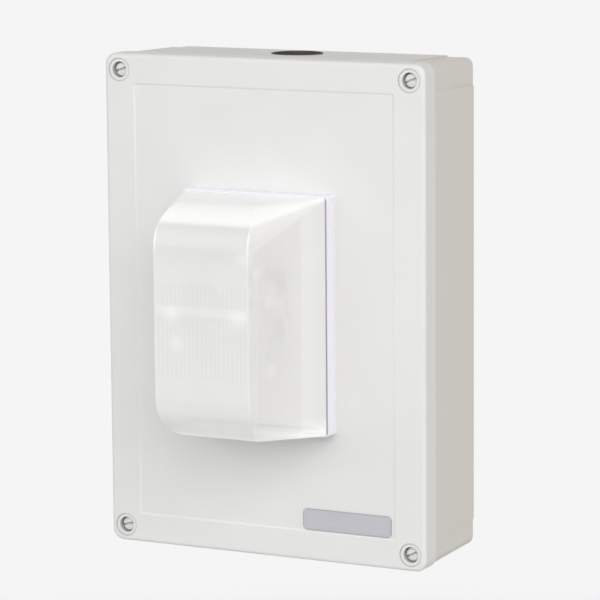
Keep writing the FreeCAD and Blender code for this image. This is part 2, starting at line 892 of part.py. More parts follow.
def add_lens_form(body, name, inset, foot_corner):
    """Loft the lens's form, set in by one wall for its hollow, and round its shoulders.

    The corners open from almost nothing at the foot to a wide bend at the crown, which makes
    the four hips.
    """
    foot = wall_sketch(body, f"{name}_foot", "lens_level")
    rectangle(foot, f"lens_width / 2 - {inset}", f"lens_height / 2 - {inset}", foot_corner)
    top = f"(lens_front_top + top_slope * {inset} - {inset})"
    bottom = f"(lens_front_bottom + bottom_slope * {inset} - {inset})"
    crown = wall_sketch(body, f"{name}_crown", f"lens_front - {inset}", up=f"({top} - {bottom}) / 2")
    rectangle(
        crown,
        f"lens_front_width / 2 + side_slope * {inset} - {inset}",
        f"({top} + {bottom}) / 2",
        f"lens_front_corner - {inset}",
    )
    loft = body.newObject("PartDesign::AdditiveLoft", f"{name}_loft")
    loft.Profile = foot
    loft.Sections = [crown]
    loft.Ruled = True
    trim_shoulder(body, f"{name}_top_trim", 1, inset, "top_shoulder", "top_slope")
    trim_shoulder(body, f"{name}_bottom_trim", -1, inset, "bottom_shoulder", "bottom_slope")


def make_strobe_lens():
    """Hollow window: hips that widen from the foot, two round shoulders, flutes and hooks."""
    hollow = new_body("lens_hollow")
    add_lens_form(hollow, "hollow", "lens_wall", "lens_inner_corner")
    body = new_body("strobe_lens")
    add_lens_form(body, "lens", "0", "lens_corner")
    shell = body.newObject("PartDesign::Boolean", "lens_shell")
    shell.Type = "Cut"
    shell.setObjects([hollow])

    flutes = wall_sketch(body, "first_flutes", "lens_front - lens_wall", across="flute_start")
    band_above = ("flute_split_up + flute_split / 2", "flute_top")
    band_below = ("flute_bottom", "flute_split_up - flute_split / 2")
    for low, high in (band_above, band_below):
        square_outline(
            flutes,
            (
                ("-flute_width / 2", low),
                ("flute_width / 2", low),
                ("flute_width / 2", high),
                ("-flute_width / 2", high),
            ),
        )
    first_pair = pad(body, flutes, "flute_rise", reverse=True)
    rows = body.newObject("PartDesign::LinearPattern", "flute_rows")
    rows.Originals = [first_pair]
    rows.Direction = (flutes, ["H_Axis"])
    bind(rows, "Length", "-2 * flute_start")
    rows.Occurrences = int(worth("flute_count"))
    body.Tip = rows

    hooks = wall_sketch(body, "lens_hooks", "lens_level + hook_root")
    for side in ("", "-"):
        near = f"{side}(hook_across - hook_thickness / 2)"
        far = f"{side}(hook_across + hook_thickness / 2)"
        left, right = (near, far) if side == "" else (far, near)
        for centre in ("hook_up", "-hook_up"):
            low = f"{centre} - hook_width / 2"
            high = f"{centre} + hook_width / 2"
            square_outline(hooks, ((left, low), (right, low), (right, high), (left, high)))
    pad(body, hooks, "hook_root + hook_reach", reverse=True)
    return body


def make_cover_screws():
    """Four plastic screws sunk in the cover's wells."""
    return screw_set(
        "cover_screws",
        "screw_across",
        "screw_up",
        "screw_seat",
        ("screw_head_radius", "screw_head_depth"),
        ("screw_shank_radius", "screw_length"),
        "screw_slot",
    )


def make_strobe_screws():
    """Four machine screws through the tray's floor and the cover."""
    return screw_set(
        "strobe_screws",
        "strobe_screw_across",
        "strobe_screw_up",
        "plate_inside",
        ("strobe_head_radius", "strobe_head_depth"),
        ("strobe_screw_radius", "plate_inside - cover_inside + nut_depth + strobe_screw_tail"),
        "screw_slot",
    )


def make_strobe_nuts():
    """Four hexagon nuts behind the cover."""
    nuts = []
    for number, (side, rise) in enumerate(CORNERS, start=1):
        across = f"{side} * strobe_screw_across"
        up = f"{rise} * strobe_screw_up"
        prism = doc.addObject("Part::Prism", f"nut_{number}_hexagon")
        prism.Polygon = 6
        bind(prism, "Circumradius", "nut_size / sqrt(3)")
        bind(prism, "Height", "nut_depth")
        place(prism, across, "cover_inside - nut_depth", up, OUTWARD)
        nuts.append(
            bore(
                f"nut_{number}",
                prism,
                "strobe_screw_radius",
                across,
                up,
                "cover_inside - nut_depth",
                "nut_depth",
            )
        )
    return group("strobe_nuts", nuts)


# Strobe electronics

def make_board(label, width, height, level, across, up, centre="0"):
    """Make a circuit board with rounded corners and a hole over each post."""
    body = new_body(label)
    outline = wall_sketch(body, f"{label}_outline", level, up=centre)
    rectangle(outline, f"{width} / 2", f"{height} / 2", "board_corner")
    pad(body, outline, "board_depth")
    holes = wall_sketch(body, f"{label}_holes", f"{level} + board_depth", up=centre)
    four_circles(holes, across, up, "small_screw_radius + board_hole_gap")
    pocket(body, holes, "board_depth")
    return body


def make_strobe_board():
    """Board of the strobe, on the tray's posts."""
    return make_board(
        "strobe_board",
        "strobe_board_width",
        "strobe_board_height",
        "strobe_board_level",
        "strobe_post_across",
        "strobe_post_up",
    )


def make_strobe_board_screws():
    """Four small screws that hold the strobe board."""
    return screw_set(
        "strobe_board_screws",
        "strobe_post_across",
        "strobe_post_up",
        "strobe_parts_level",
        ("small_head_radius", "small_head_depth"),
        ("small_screw_radius", "small_screw_length"),
        "small_screw_slot",
    )


def make_board_guard():
    """White drafted cover over the strobe board, open where the trough dips into it."""
    body = new_body("board_guard")
    outside = wall_sketch(body, "guard_outline", "strobe_parts_level")
    rectangle(outside, "guard_width / 2", "guard_height / 2", "guard_corner")
    pad(body, outside, "guard_rise", taper="-guard_draft")
    inside = wall_sketch(body, "guard_room", "strobe_parts_level")
    rectangle(
        inside,
        "guard_width / 2 - guard_wall",
        "guard_height / 2 - guard_wall",
        "guard_corner - guard_wall / 2",
    )
    pocket(body, inside, "guard_rise - guard_wall", reverse=True, taper="-guard_draft")
    window = wall_sketch(body, "trough_window", "guard_level", up="tube_up")
    rectangle(
        window,
        "holder_across + holder_width / 2 + guard_window_gap / 2",
        "trough_radius + reflector_wall + guard_window_gap",
    )
    pocket(body, window, "2 * guard_wall")
    return body


def make_reflector():
    """Thin moulding: a trough behind the tube, a flange above and below it, and four legs."""
    body = new_body("reflector")
    trough = sketch_on(body, "YZ_Plane", "trough_outline", "0")
    ends = {}
    for name, radius in (("outer", "trough_radius + reflector_wall"), ("inner", "trough_radius")):
        reach = worth(radius)
        centre = Vector(-worth("reflector_level"), worth("tube_up"), 0)
        low = centre + Vector(0, -reach, 0)
        back = centre + Vector(reach, 0, 0)
        high = centre + Vector(0, reach, 0)
        ends[name] = (trough.addGeometry(Part.Arc(low, back, high)), low, high)
        fixed = trough.addConstraint(Sketcher.Constraint("Radius", ends[name][0], reach))
        bind(trough, f"Constraints[{fixed}]", radius)
        hold(trough, "DistanceX", ends[name][0], 3, "-reflector_level")
        hold(trough, "DistanceY", ends[name][0], 3, "tube_up")
        for vertex in (1, 2):
            trough.addConstraint(
                Sketcher.Constraint("Vertical", ends[name][0], vertex, ends[name][0], 3)
            )
    for vertex in (1, 2):
        line = trough.addGeometry(Part.LineSegment(ends["inner"][vertex], ends["outer"][vertex]))
        trough.addConstraint(Sketcher.Constraint("Coincident", line, 1, ends["inner"][0], vertex))
        trough.addConstraint(Sketcher.Constraint("Coincident", line, 2, ends["outer"][0], vertex))
    pad(body, trough, "reflector_width", midplane=True)

    flanges = wall_sketch(body, "reflector_flanges", "reflector_level")
    bands = (
        ("tube_up + trough_radius", "reflector_height / 2"),
        ("-reflector_height / 2", "tube_up - trough_radius"),
    )
    for low, high in bands:
        square_outline(
            flanges,
            (
                ("-reflector_width / 2", low),
                ("reflector_width / 2", low),
                ("reflector_width / 2", high),
                ("-reflector_width / 2", high),
            ),
        )
    pad(body, flanges, "reflector_wall", reverse=True)
    legs = wall_sketch(body, "reflector_legs", "reflector_level - reflector_wall / 2")
    four_circles(legs, "reflector_leg_across", "reflector_leg_up", "reflector_leg_radius")
    pad(body, legs, "reflector_level - reflector_wall / 2 - guard_level", reverse=True)
    return body


def make_flash_tube():
    """Sealed glass tube that lies across, along the trough."""
    glass = rod("glass", "0", "tube_up", "tube_level", "tube_length", "tube_radius")
    return labelled(glass, "flash_tube")


def make_tube_caps():
    """Metal cap on each end of the tube."""
    caps = []
    for hand, side in SIDES:
        across = f"{side} * (tube_length / 2 - tube_cap_length / 2 + tube_cap_wall)"
        outside = rod(
            f"cap_outside_{hand}",
            across,
            "tube_up",
            "tube_level",
            "tube_cap_length",
            "tube_cap_radius",
        )
        inside = rod(
            f"cap_inside_{hand}",
            "0",
            "tube_up",
            "tube_level",
            "tube_length",
            "tube_radius",
        )
        caps.append(cut(f"tube_cap_{hand}", outside, [inside]))
    return group("tube_caps", caps)


def make_tube_holders():
    """Post at each end of the trough, with a slot that the tube's pin lies in."""
    holders = []
    for hand, side in SIDES:
        across = f"{side} * holder_across"
        post = block(
            f"holder_post_{hand}",
            across,
            "tube_up",
            "strobe_parts_level",
            "holder_width",
            "holder_height",
            "tube_level + holder_rim - strobe_parts_level",
        )
        notch = block(
            f"holder_notch_{hand}",
            across,
            "tube_up",
            "tube_level - tube_pin_radius",
            "2 * holder_width",
            "2 * tube_pin_radius",
            "2 * holder_rim",
        )
        holders.append(cut(f"tube_holder_{hand}", post, [notch]))
    return group("tube_holders", holders)


def make_tube_pins():
    """Wire that stands out of each cap and lies in its holder."""
    pins = []
    reach = "(holder_across + holder_width / 2 - tube_length / 2 - tube_cap_wall)"
    for hand, side in SIDES:
        pins.append(
            rod(
                f"tube_pin_{hand}",
                f"{side} * (tube_length / 2 + tube_cap_wall + {reach} / 2)",
                "tube_up",
                "tube_level",
                reach,
                "tube_pin_radius",
            )
        )
    return group("tube_pins", pins)


def make_flash_capacitor():
    """Long capacitor that lies across under the trough."""
    can = rod(
        "flash_can",
        "0",
        "flash_can_up",
        "strobe_parts_level + flash_can_radius",
        "flash_can_length",
        "flash_can_radius",
    )
    return labelled(can, "flash_capacitor")


def make_trigger_coil():
    """Small encapsulated coil that fires the tube."""
    coil = block(
        "coil_block",
        "coil_across",
        "coil_up",
        "strobe_parts_level",
        "coil_width",
        "coil_height",
        "coil_rise",
    )
    return labelled(coil, "trigger_coil")


def make_choke():
    """Wound ring of the strobe's voltage converter."""
    ring = peg(
        "choke_ring",
        "choke_across",
        "choke_up",
        "strobe_parts_level",
        "choke_rise",
        "choke_radius",
    )
    choke = bore(
        "choke_bored",
        ring,
        "choke_bore",
        "choke_across",
        "choke_up",
        "strobe_parts_level",
        "choke_rise",
    )
    return labelled(choke, "converter_choke")


# Control electronics

def make_control_board():
    """Board of the control circuit, on the base's posts."""
    return make_board(
        "control_board",
        "control_width",
        "control_height",
        "control_board_level",
        "control_post_across",
        "control_post_up",
        "control_up",
    )


def make_control_board_screws():
    """Four small screws that hold the control board."""
    return screw_set(
        "control_board_screws",
        "control_post_across",
        "control_post_up",
        "control_parts_level",
        ("small_head_radius", "small_head_depth"),
        ("small_screw_radius", "small_screw_length"),
        "small_screw_slot",
        "control_up",
    )


def make_transformer():
    """Laminated core with two windows, and the bobbin that fills them and stands on the board."""
    yoke = block(
        "core_block",
        "transformer_across",
        "transformer_up",
        "control_parts_level + core_lift",
        "core_width",
        "core_height",
        "core_rise",
    )
    windows = []
    for hand, side in SIDES:
        windows.append(
            block(
                f"core_window_{hand}",
                f"transformer_across + {side} * (core_width / 4 - core_leg / 4)",
                "transformer_up",
                "control_parts_level + core_lift",
                "core_width / 2 - core_leg - core_leg / 2",
                "core_height - 2 * core_leg",
                "core_rise",
            )
        )
    core = labelled(cut("core_cut", yoke, windows), "transformer_core")
    bobbin = block(
        "bobbin_block",
        "transformer_across",
        "transformer_up",
        "control_parts_level",
        "core_width - 2 * core_leg",
        "core_height - 2 * core_leg",
        "winding_rise",
    )
    passage = block(
        "bobbin_passage",
        "transformer_across",
        "transformer_up",
        "control_parts_level + core_lift",
        "core_leg",
        "core_height",
        "core_rise",
    )
    winding = labelled(cut("bobbin_cut", bobbin, [passage]), "transformer_winding")
    return core, winding


def make_terminal_block():
    """Row of cable terminals: a screw well and a wire mouth for each way."""
    length = "terminal_ways * terminal_pitch"
    case = block(
        "terminal_case",
        "terminal_across",
        "terminal_up",
        "control_parts_level",
        length,
        "terminal_height",
        "terminal_rise",
    )
    wells = []
    screws = []
    for way in range(int(worth("terminal_ways"))):
        across = f"terminal_across + ({way} + 0.5 - terminal_ways / 2) * terminal_pitch"
        top = "control_parts_level + terminal_rise"
        wells.append(
            peg(
                f"terminal_well_{way + 1}",
                across,
                "terminal_up",
                f"{top} - terminal_screw_depth",
                "terminal_screw_depth",
                "terminal_screw_radius",
            )
        )
        wells.append(
            block(
                f"terminal_mouth_{way + 1}",
                across,
                "terminal_up + terminal_height / 2 - terminal_mouth_depth / 2",
                "control_parts_level + terminal_mouth / 2",
                "terminal_mouth",
                "terminal_mouth_depth",
                "terminal_mouth",
            )
        )
        screws.append(
            peg(
                f"terminal_screw_{way + 1}",
                across,
                "terminal_up",
                f"{top} - terminal_screw_depth",
                "terminal_screw_depth / 2",
                "terminal_screw_radius",
            )
        )
    return (
        labelled(cut("terminal_housing", case, wells), "terminal_block"),
        group("terminal_screws", screws),
    )


def make_relay():
    """Sealed relay."""
    case = block(
        "relay_case",
        "relay_across",
        "relay_up",
        "control_parts_level",
        "relay_width",
        "relay_height",
        "relay_rise",
    )
    return labelled(case, "relay")


def make_fuse():
    """Glass fuse with a cap at each end, in two spring clips."""
    level = "control_parts_level + fuse_lift + fuse_radius"
    glass = rod("fuse_glass", "fuse_across", "fuse_up", level, "fuse_length", "fuse_radius")
    clips = []
    for hand, side in SIDES:
        across = f"fuse_across + {side} * (fuse_length / 2 - fuse_cap_length / 2)"
        outside = block(
            f"clip_outside_{hand}",
            across,
            "fuse_up",
            "control_parts_level",
            "fuse_cap_length",
            "2 * (fuse_radius + clip_wall)",
            "fuse_lift + 2 * fuse_radius",
        )
        seat = rod(
            f"clip_seat_{hand}",
            across,
            "fuse_up",
            level,
            "2 * fuse_cap_length",
            "fuse_radius",
        )
        mouth = block(
            f"clip_mouth_{hand}",
            across,
            "fuse_up",
            level,
            "2 * fuse_cap_length",
            "2 * fuse_radius",
            "2 * fuse_radius",
        )
        clips.append(cut(f"fuse_clip_{hand}", outside, [seat, mouth]))
    return labelled(glass, "fuse"), group("fuse_clips", clips)


def make_supply_capacitors():
    """Two upright cans that smooth the supply."""
    cans = []
    for number in (0, 1):
        cans.append(
            peg(
                f"supply_can_{number + 1}",
                "supply_can_across",
                f"supply_can_up + {number} * supply_can_pitch",
                "control_parts_level",
                "supply_can_rise",
                "supply_can_radius",
            )
        )
    return group("supply_capacitors", cans)


def make_control_chip():
    """Flat chip of the control circuit."""
    chip = block(
        "chip_body",
        "chip_across",
        "chip_up",
        "control_parts_level",
        "chip_width",
        "chip_height",
        "chip_rise",
    )
    return labelled(chip, "control_chip")


def make_lead_socket():
    """Socket that the strobe's cable starts from."""
    socket = block(
        "socket_body",
        "socket_across",
        "socket_up",
        "control_parts_level",
        "socket_width",
        "socket_height",
        "socket_rise",
    )
    return labelled(socket, "lead_socket")


def make_strobe_lead():
    """Cable from the socket on the control board to the back of the strobe board."""
    start_level = worth("control_parts_level + socket_rise")
    end_level = worth("strobe_board_level")
    start = Vector(worth("socket_across"), -start_level, worth("socket_up"))
    end = Vector(0, -end_level, 0)
    lift = Vector(0, -worth("lead_straight"), 0)
    route = [start, start + lift, end - lift, end]
    radius = worth("lead_radius")
    runs = []
    here = route[0]
    for before, point, after in zip(route, route[1:], route[2:]):
        into = (point - before).normalize()
        out = (after - point).normalize()
        turn = into.getAngle(out)
        bend = worth("lead_bend")
        reach = bend * math.tan(turn / 2)
        first = point - into * reach
        last = point + out * reach
        middle = point + (out - into).normalize() * (bend / math.cos(turn / 2) - bend)
        runs.append(Part.LineSegment(here, first).toShape())
        runs.append(Part.Arc(first, middle, last).toShape())
        here = last
    runs.append(Part.LineSegment(here, end).toShape())
    path = Part.Wire(runs)
    section = Part.Wire(Part.makeCircle(radius, start, lift))
    tube = path.makePipeShell([section], True, True)
    if abs(tube.Volume - math.pi * radius**2 * path.Length) > 0.01 * tube.Volume:
        raise RuntimeError("The lead's volume is not its section times its length")
    lead = doc.addObject("Part::Feature", "strobe_lead")
    lead.Shape = tube
    return labelled(lead, "strobe_lead")


def write_parts(pieces):
    """Check every object of the document and every piece, then write one file a piece."""
    doc.recompute()
    for thing in doc.Objects:
        if "Invalid" in thing.State or "Error" in thing.State:
            raise RuntimeError(f"{thing.Name} failed: {thing.State}")
    for piece in pieces:
        if piece.Shape.isNull() or not piece.Shape.isValid():
            raise RuntimeError(f"{piece.Label} has no valid shape")
    os.makedirs("parts", exist_ok=True)
    for piece in pieces:
        piece.Shape.exportStep(f"parts/{piece.Label}.step")
        box = piece.Shape.BoundBox
        print(
            f"{piece.Label}: {len(piece.Shape.Solids)} solid(s), {piece.Shape.Volume:.1f} mm3, "
            f"x {box.XMin:.1f} to {box.XMax:.1f}, y {box.YMin:.1f} to {box.YMax:.1f}, "
            f"z {box.ZMin:.1f} to {box.ZMax:.1f}"
        )


fill_sheet()
write_parts(
    [
        make_enclosure_base(),
        make_enclosure_cover(),
        make_cover_gasket(),
        make_cover_screws(),
        make_name_plate(),
        make_strobe_back_plate(),
        make_lens_seal(),
        make_strobe_lens(),
        make_strobe_screws(),
        make_strobe_nuts(),
        make_strobe_board(),
        make_strobe_board_screws(),
        make_board_guard(),
        make_reflector(),
        make_flash_tube(),
        make_tube_caps(),
        make_tube_pins(),
        make_tube_holders(),
        make_flash_capacitor(),
        make_trigger_coil(),
        make_choke(),
        make_control_board(),
        make_control_board_screws(),
        *make_transformer(),
        *make_terminal_block(),
        make_relay(),
        *make_fuse(),
        make_supply_capacitors(),
        make_control_chip(),
        make_lead_socket(),
        make_strobe_lead(),
    ]
)
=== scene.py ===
"""Looks of a wall-mounted alarm strobe light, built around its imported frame.

All sizes are metres in the frame's own axes: +X is to the right of someone who faces the light,
+Z is up and +Y points into the wall. The origin is the middle of the back face.
"""

import logging
import math
from abc import ABC, abstractmethod
from dataclasses import dataclass, field
from enum import Enum
from typing import Any, Callable, Mapping, Sequence

import bmesh
import bpy
from mathutils import Matrix, Vector


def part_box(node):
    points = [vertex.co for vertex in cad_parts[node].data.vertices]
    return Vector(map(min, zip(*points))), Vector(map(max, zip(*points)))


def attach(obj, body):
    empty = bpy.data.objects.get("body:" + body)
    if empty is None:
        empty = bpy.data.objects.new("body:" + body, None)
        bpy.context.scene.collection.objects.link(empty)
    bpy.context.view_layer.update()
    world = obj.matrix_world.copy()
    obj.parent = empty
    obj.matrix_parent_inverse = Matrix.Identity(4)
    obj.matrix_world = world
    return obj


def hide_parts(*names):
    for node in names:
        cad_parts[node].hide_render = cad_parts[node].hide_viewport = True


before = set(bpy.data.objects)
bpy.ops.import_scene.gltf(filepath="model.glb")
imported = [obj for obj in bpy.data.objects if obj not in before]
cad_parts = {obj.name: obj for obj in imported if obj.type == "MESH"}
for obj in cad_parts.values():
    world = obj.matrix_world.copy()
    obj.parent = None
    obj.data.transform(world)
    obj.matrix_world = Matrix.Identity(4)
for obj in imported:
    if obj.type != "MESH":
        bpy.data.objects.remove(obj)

LOG = logging.getLogger("alarm_strobe")
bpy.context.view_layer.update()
BODY = "root"
MM = 0.001
# Points nearer than this are one point.
JOIN = 0.001 * MM
# A face looks along an axis if its normal has at least this share of it.
SQUARE_ON = 0.9

# A place, a size or a scale along the three axes, and a linear colour.
Triple = tuple[float, float, float]
Colour = tuple[float, float, float]
# A plain value of a socket, or the Wire that feeds it.
Value = Any


def linear(red: int, green: int, blue: int) -> Colour:
    """Turn a screen colour into the linear colour that shaders take.

    Args:
        red: The red level, from 0 to 255.
        green: The green level, from 0 to 255.
        blue: The blue level, from 0 to 255.

    Returns:
        The linear colour.
    """
    def channel(level: int) -> float:
        """Turn one level."""
        share = level / 255
        return share / 12.92 if share <= 0.04045 else ((share + 0.055) / 1.055) ** 2.4

    return channel(red), channel(green), channel(blue)


def shaded(colour: Colour, share: float) -> Colour:
    """Scale a colour, at most to white."""
    return tuple(min(1.0, level * share) for level in colour)


WHITE = linear(255, 255, 255)
NO_LIGHT = linear(0, 0, 0)
PALE = linear(245, 245, 245)


class Slot(Enum):
    """Names of material slots in the record; nothing here uses them."""

    SEAL = "seal_rubber"
    SCREW = "screw_plastic"
    STROBE = "strobe_plastic"
    STEEL = "steel"
    WINDING = "copper_winding"


# Shader graphs

def operator(operation: str, swapped: bool = False) -> Callable[["Wire", Value], "Wire"]:
    """Make an operator of Wire.

    Args:
        operation: What the Math node that it adds does.
        swapped: Whether the Wire is the second of the two values.

    Returns:
        The operator.
    """
    def apply(wire: "Wire", other: Value) -> "Wire":
        """Add the node."""
        return wire.graph.maths(operation, *((other, wire) if swapped else (wire, other)))

    return apply


class Wire:
    """One output of a node; arithmetic on it adds Math nodes."""

    def __init__(self, graph: "Graph", output: bpy.types.NodeSocket | None) -> None:
        """Keep the graph and the output, which an output node hasn't."""
        self.graph = graph
        self.output = output

    __add__, __radd__ = operator("ADD"), operator("ADD", swapped=True)
    __sub__, __rsub__ = operator("SUBTRACT"), operator("SUBTRACT", swapped=True)
    __mul__, __rmul__ = operator("MULTIPLY"), operator("MULTIPLY", swapped=True)
    __gt__, __lt__ = operator("GREATER_THAN"), operator("LESS_THAN")
    __mod__ = operator("FLOORED_MODULO")


class Graph:
    """The node graph of one material or world."""

    def __init__(self, owner: bpy.types.Material | bpy.types.World) -> None:
        """Start with no nodes.

        Args:
            owner: The new material or world.
        """
        owner.use_nodes = True
        self.tree = owner.node_tree
        self.tree.nodes.clear()

    def node(
        self,
        kind: str,
        settings: Mapping[str, Any] | None = None,
        sockets: Mapping[int | str, Value] | None = None,
        output: int | str = 0,
    ) -> Wire:
        """Add a node.

        Args:
            kind: The node's type name.
            settings: Its properties, which are set first.
            sockets: Its inputs by name or number, each a value or a Wire.
            output: The output that the returned Wire stands for.

        Returns:
            The chosen output.
        """
        made = self.tree.nodes.new(kind)
        for name, value in (settings or {}).items():
            setattr(made, name, value)
        for name, value in (sockets or {}).items():
            if isinstance(value, Wire):
                self.tree.links.new(value.output, made.inputs[name])
            else:
                made.inputs[name].default_value = value
        return Wire(self, made.outputs[output] if made.outputs else None)

    def maths(self, operation: str, *values: Value) -> Wire:
        """Add a Math node."""
        return self.node("ShaderNodeMath", {"operation": operation}, dict(enumerate(values)))

    def reach(self, first: Wire, second: Wire) -> Wire:
        """Give the length of a step that goes this far along two axes."""
        return self.maths("SQRT", first * first + second * second)

    def ramp(self, value: Wire, low: float, high: float) -> Wire:
        """Give a smooth rise from 0 to 1.

        Args:
            value: What it follows.
            low: The value that gives 0.
            high: The value that gives 1, which may be the lower of the two.

        Returns:
            The rise.
        """
        limits = {"Value": value, "From Min": low, "From Max": high}
        if low > high:
            limits = {"Value": value * -1.0, "From Min": -low, "From Max": -high}
        return self.node("ShaderNodeMapRange", {"interpolation_type": "SMOOTHSTEP"}, limits)

    def place(self) -> Wire:
        """Give the place on the object in metres."""
        return self.node("ShaderNodeTexCoord", output="Object")

    def axis(self, number: int) -> Wire:
        """Give one coordinate of the place: 0 across, 1 into the wall, 2 up."""
        return self.node("ShaderNodeSeparateXYZ", {}, {0: self.place()}, number)

    def noise(self, grain: float, detail: float = 2.0, stretch: Triple = (1, 1, 1)) -> Wire:
        """Give a soft random value.

        Args:
            grain: Size of one blotch in metres.
            detail: How many finer layers are added.
            stretch: How much denser the pattern is along each axis.

        Returns:
            A value from 0 to 1 that is about 0.5 on average.
        """
        scale = tuple(share / grain for share in stretch)
        where = self.node(
            "ShaderNodeMapping", {"vector_type": "POINT"}, {"Vector": self.place(), "Scale": scale}
        )
        return self.node(
            "ShaderNodeTexNoise", {}, {"Vector": where, "Scale": 1.0, "Detail": detail}
        )

    def blend(self, factor: Value, first: Value, second: Value) -> Wire:
        """Mix two colours.

        Args:
            factor: 0 for the first colour and 1 for the second.
            first: A colour or a Wire.
            second: A colour or a Wire.

        Returns:
            The mixed colour.
        """
        def opaque(colour: Value) -> Value:
            """Give a plain colour its alpha."""
            return colour if isinstance(colour, Wire) else (*colour, 1.0)

        return self.node(
            "ShaderNodeMix",
            {"data_type": "RGBA"},
            {0: factor, 6: opaque(first), 7: opaque(second)},
            2,
        )

    def bump(self, height: Wire, depth: float) -> Wire:
        """Give normals for a height of 0 to 1 that stands for a depth in metres."""
        return self.node("ShaderNodeBump", {}, {"Height": height, "Distance": depth})

    def surface(self, sockets: Mapping[str, Value]) -> None:
        """End the graph in a Principled surface.

        Args:
            sockets: Its inputs by name, each a value, a colour or a Wire.
        """
        ready = {
            name: (*value, 1.0) if isinstance(value, tuple) and len(value) == 3 else value
            for name, value in sockets.items()
        }
        shader = self.node("ShaderNodeBsdfPrincipled", {}, ready)
        self.node("ShaderNodeOutputMaterial", {}, {"Surface": shader})


@dataclass(frozen=True)
class Finish(ABC):
    """A named look and its main colour."""

    name: str
    colour: Colour

    def material(self) -> bpy.types.Material:
        """Build the material.

        Returns:
            The finished material.
        """
        material = bpy.data.materials.new(self.name)
        self.fill(Graph(material))
        return material

    @abstractmethod
    def fill(self, graph: Graph) -> None:
        """Add the nodes of the look.

        Args:
            graph: The material's graph, still without nodes.
        """


@dataclass(frozen=True)
class MouldedPlastic(Finish):
    """Opaque moulded plastic with a fine spark-eroded grain and a faint flow mottle."""

    roughness: float = 0.42
    grain: float = 0.35 * MM
    grain_depth: float = 0.006 * MM
    mottle: float = 0.03
    mottle_size: float = 30 * MM
    spread: float = 0.05
    index: float = 1.52

    def paint(self, graph: Graph, face: Wire) -> Wire:
        """Add marks to the face's colour; plain plastic has none."""
        return face

    def fill(self, graph: Graph) -> None:
        """Mottle the colour and grain the surface.

        Args:
            graph: The material's graph.
        """
        flow = graph.noise(self.mottle_size, detail=3.0)
        dark = shaded(self.colour, 1 - self.mottle)
        light = shaded(self.colour, 1 + self.mottle)
        graph.surface(
            {
                "Base Color": self.paint(graph, graph.blend(flow, dark, light)),
                "Roughness": self.roughness - self.spread + 2 * self.spread * flow,
                "IOR": self.index,
                "Normal": graph.bump(graph.noise(self.grain), self.grain_depth),
            }
        )


@dataclass(frozen=True)
class Gleam:
    """A spot of painted glow that stands for a bright part seen through a milky wall."""

    place: Triple
    radius: float


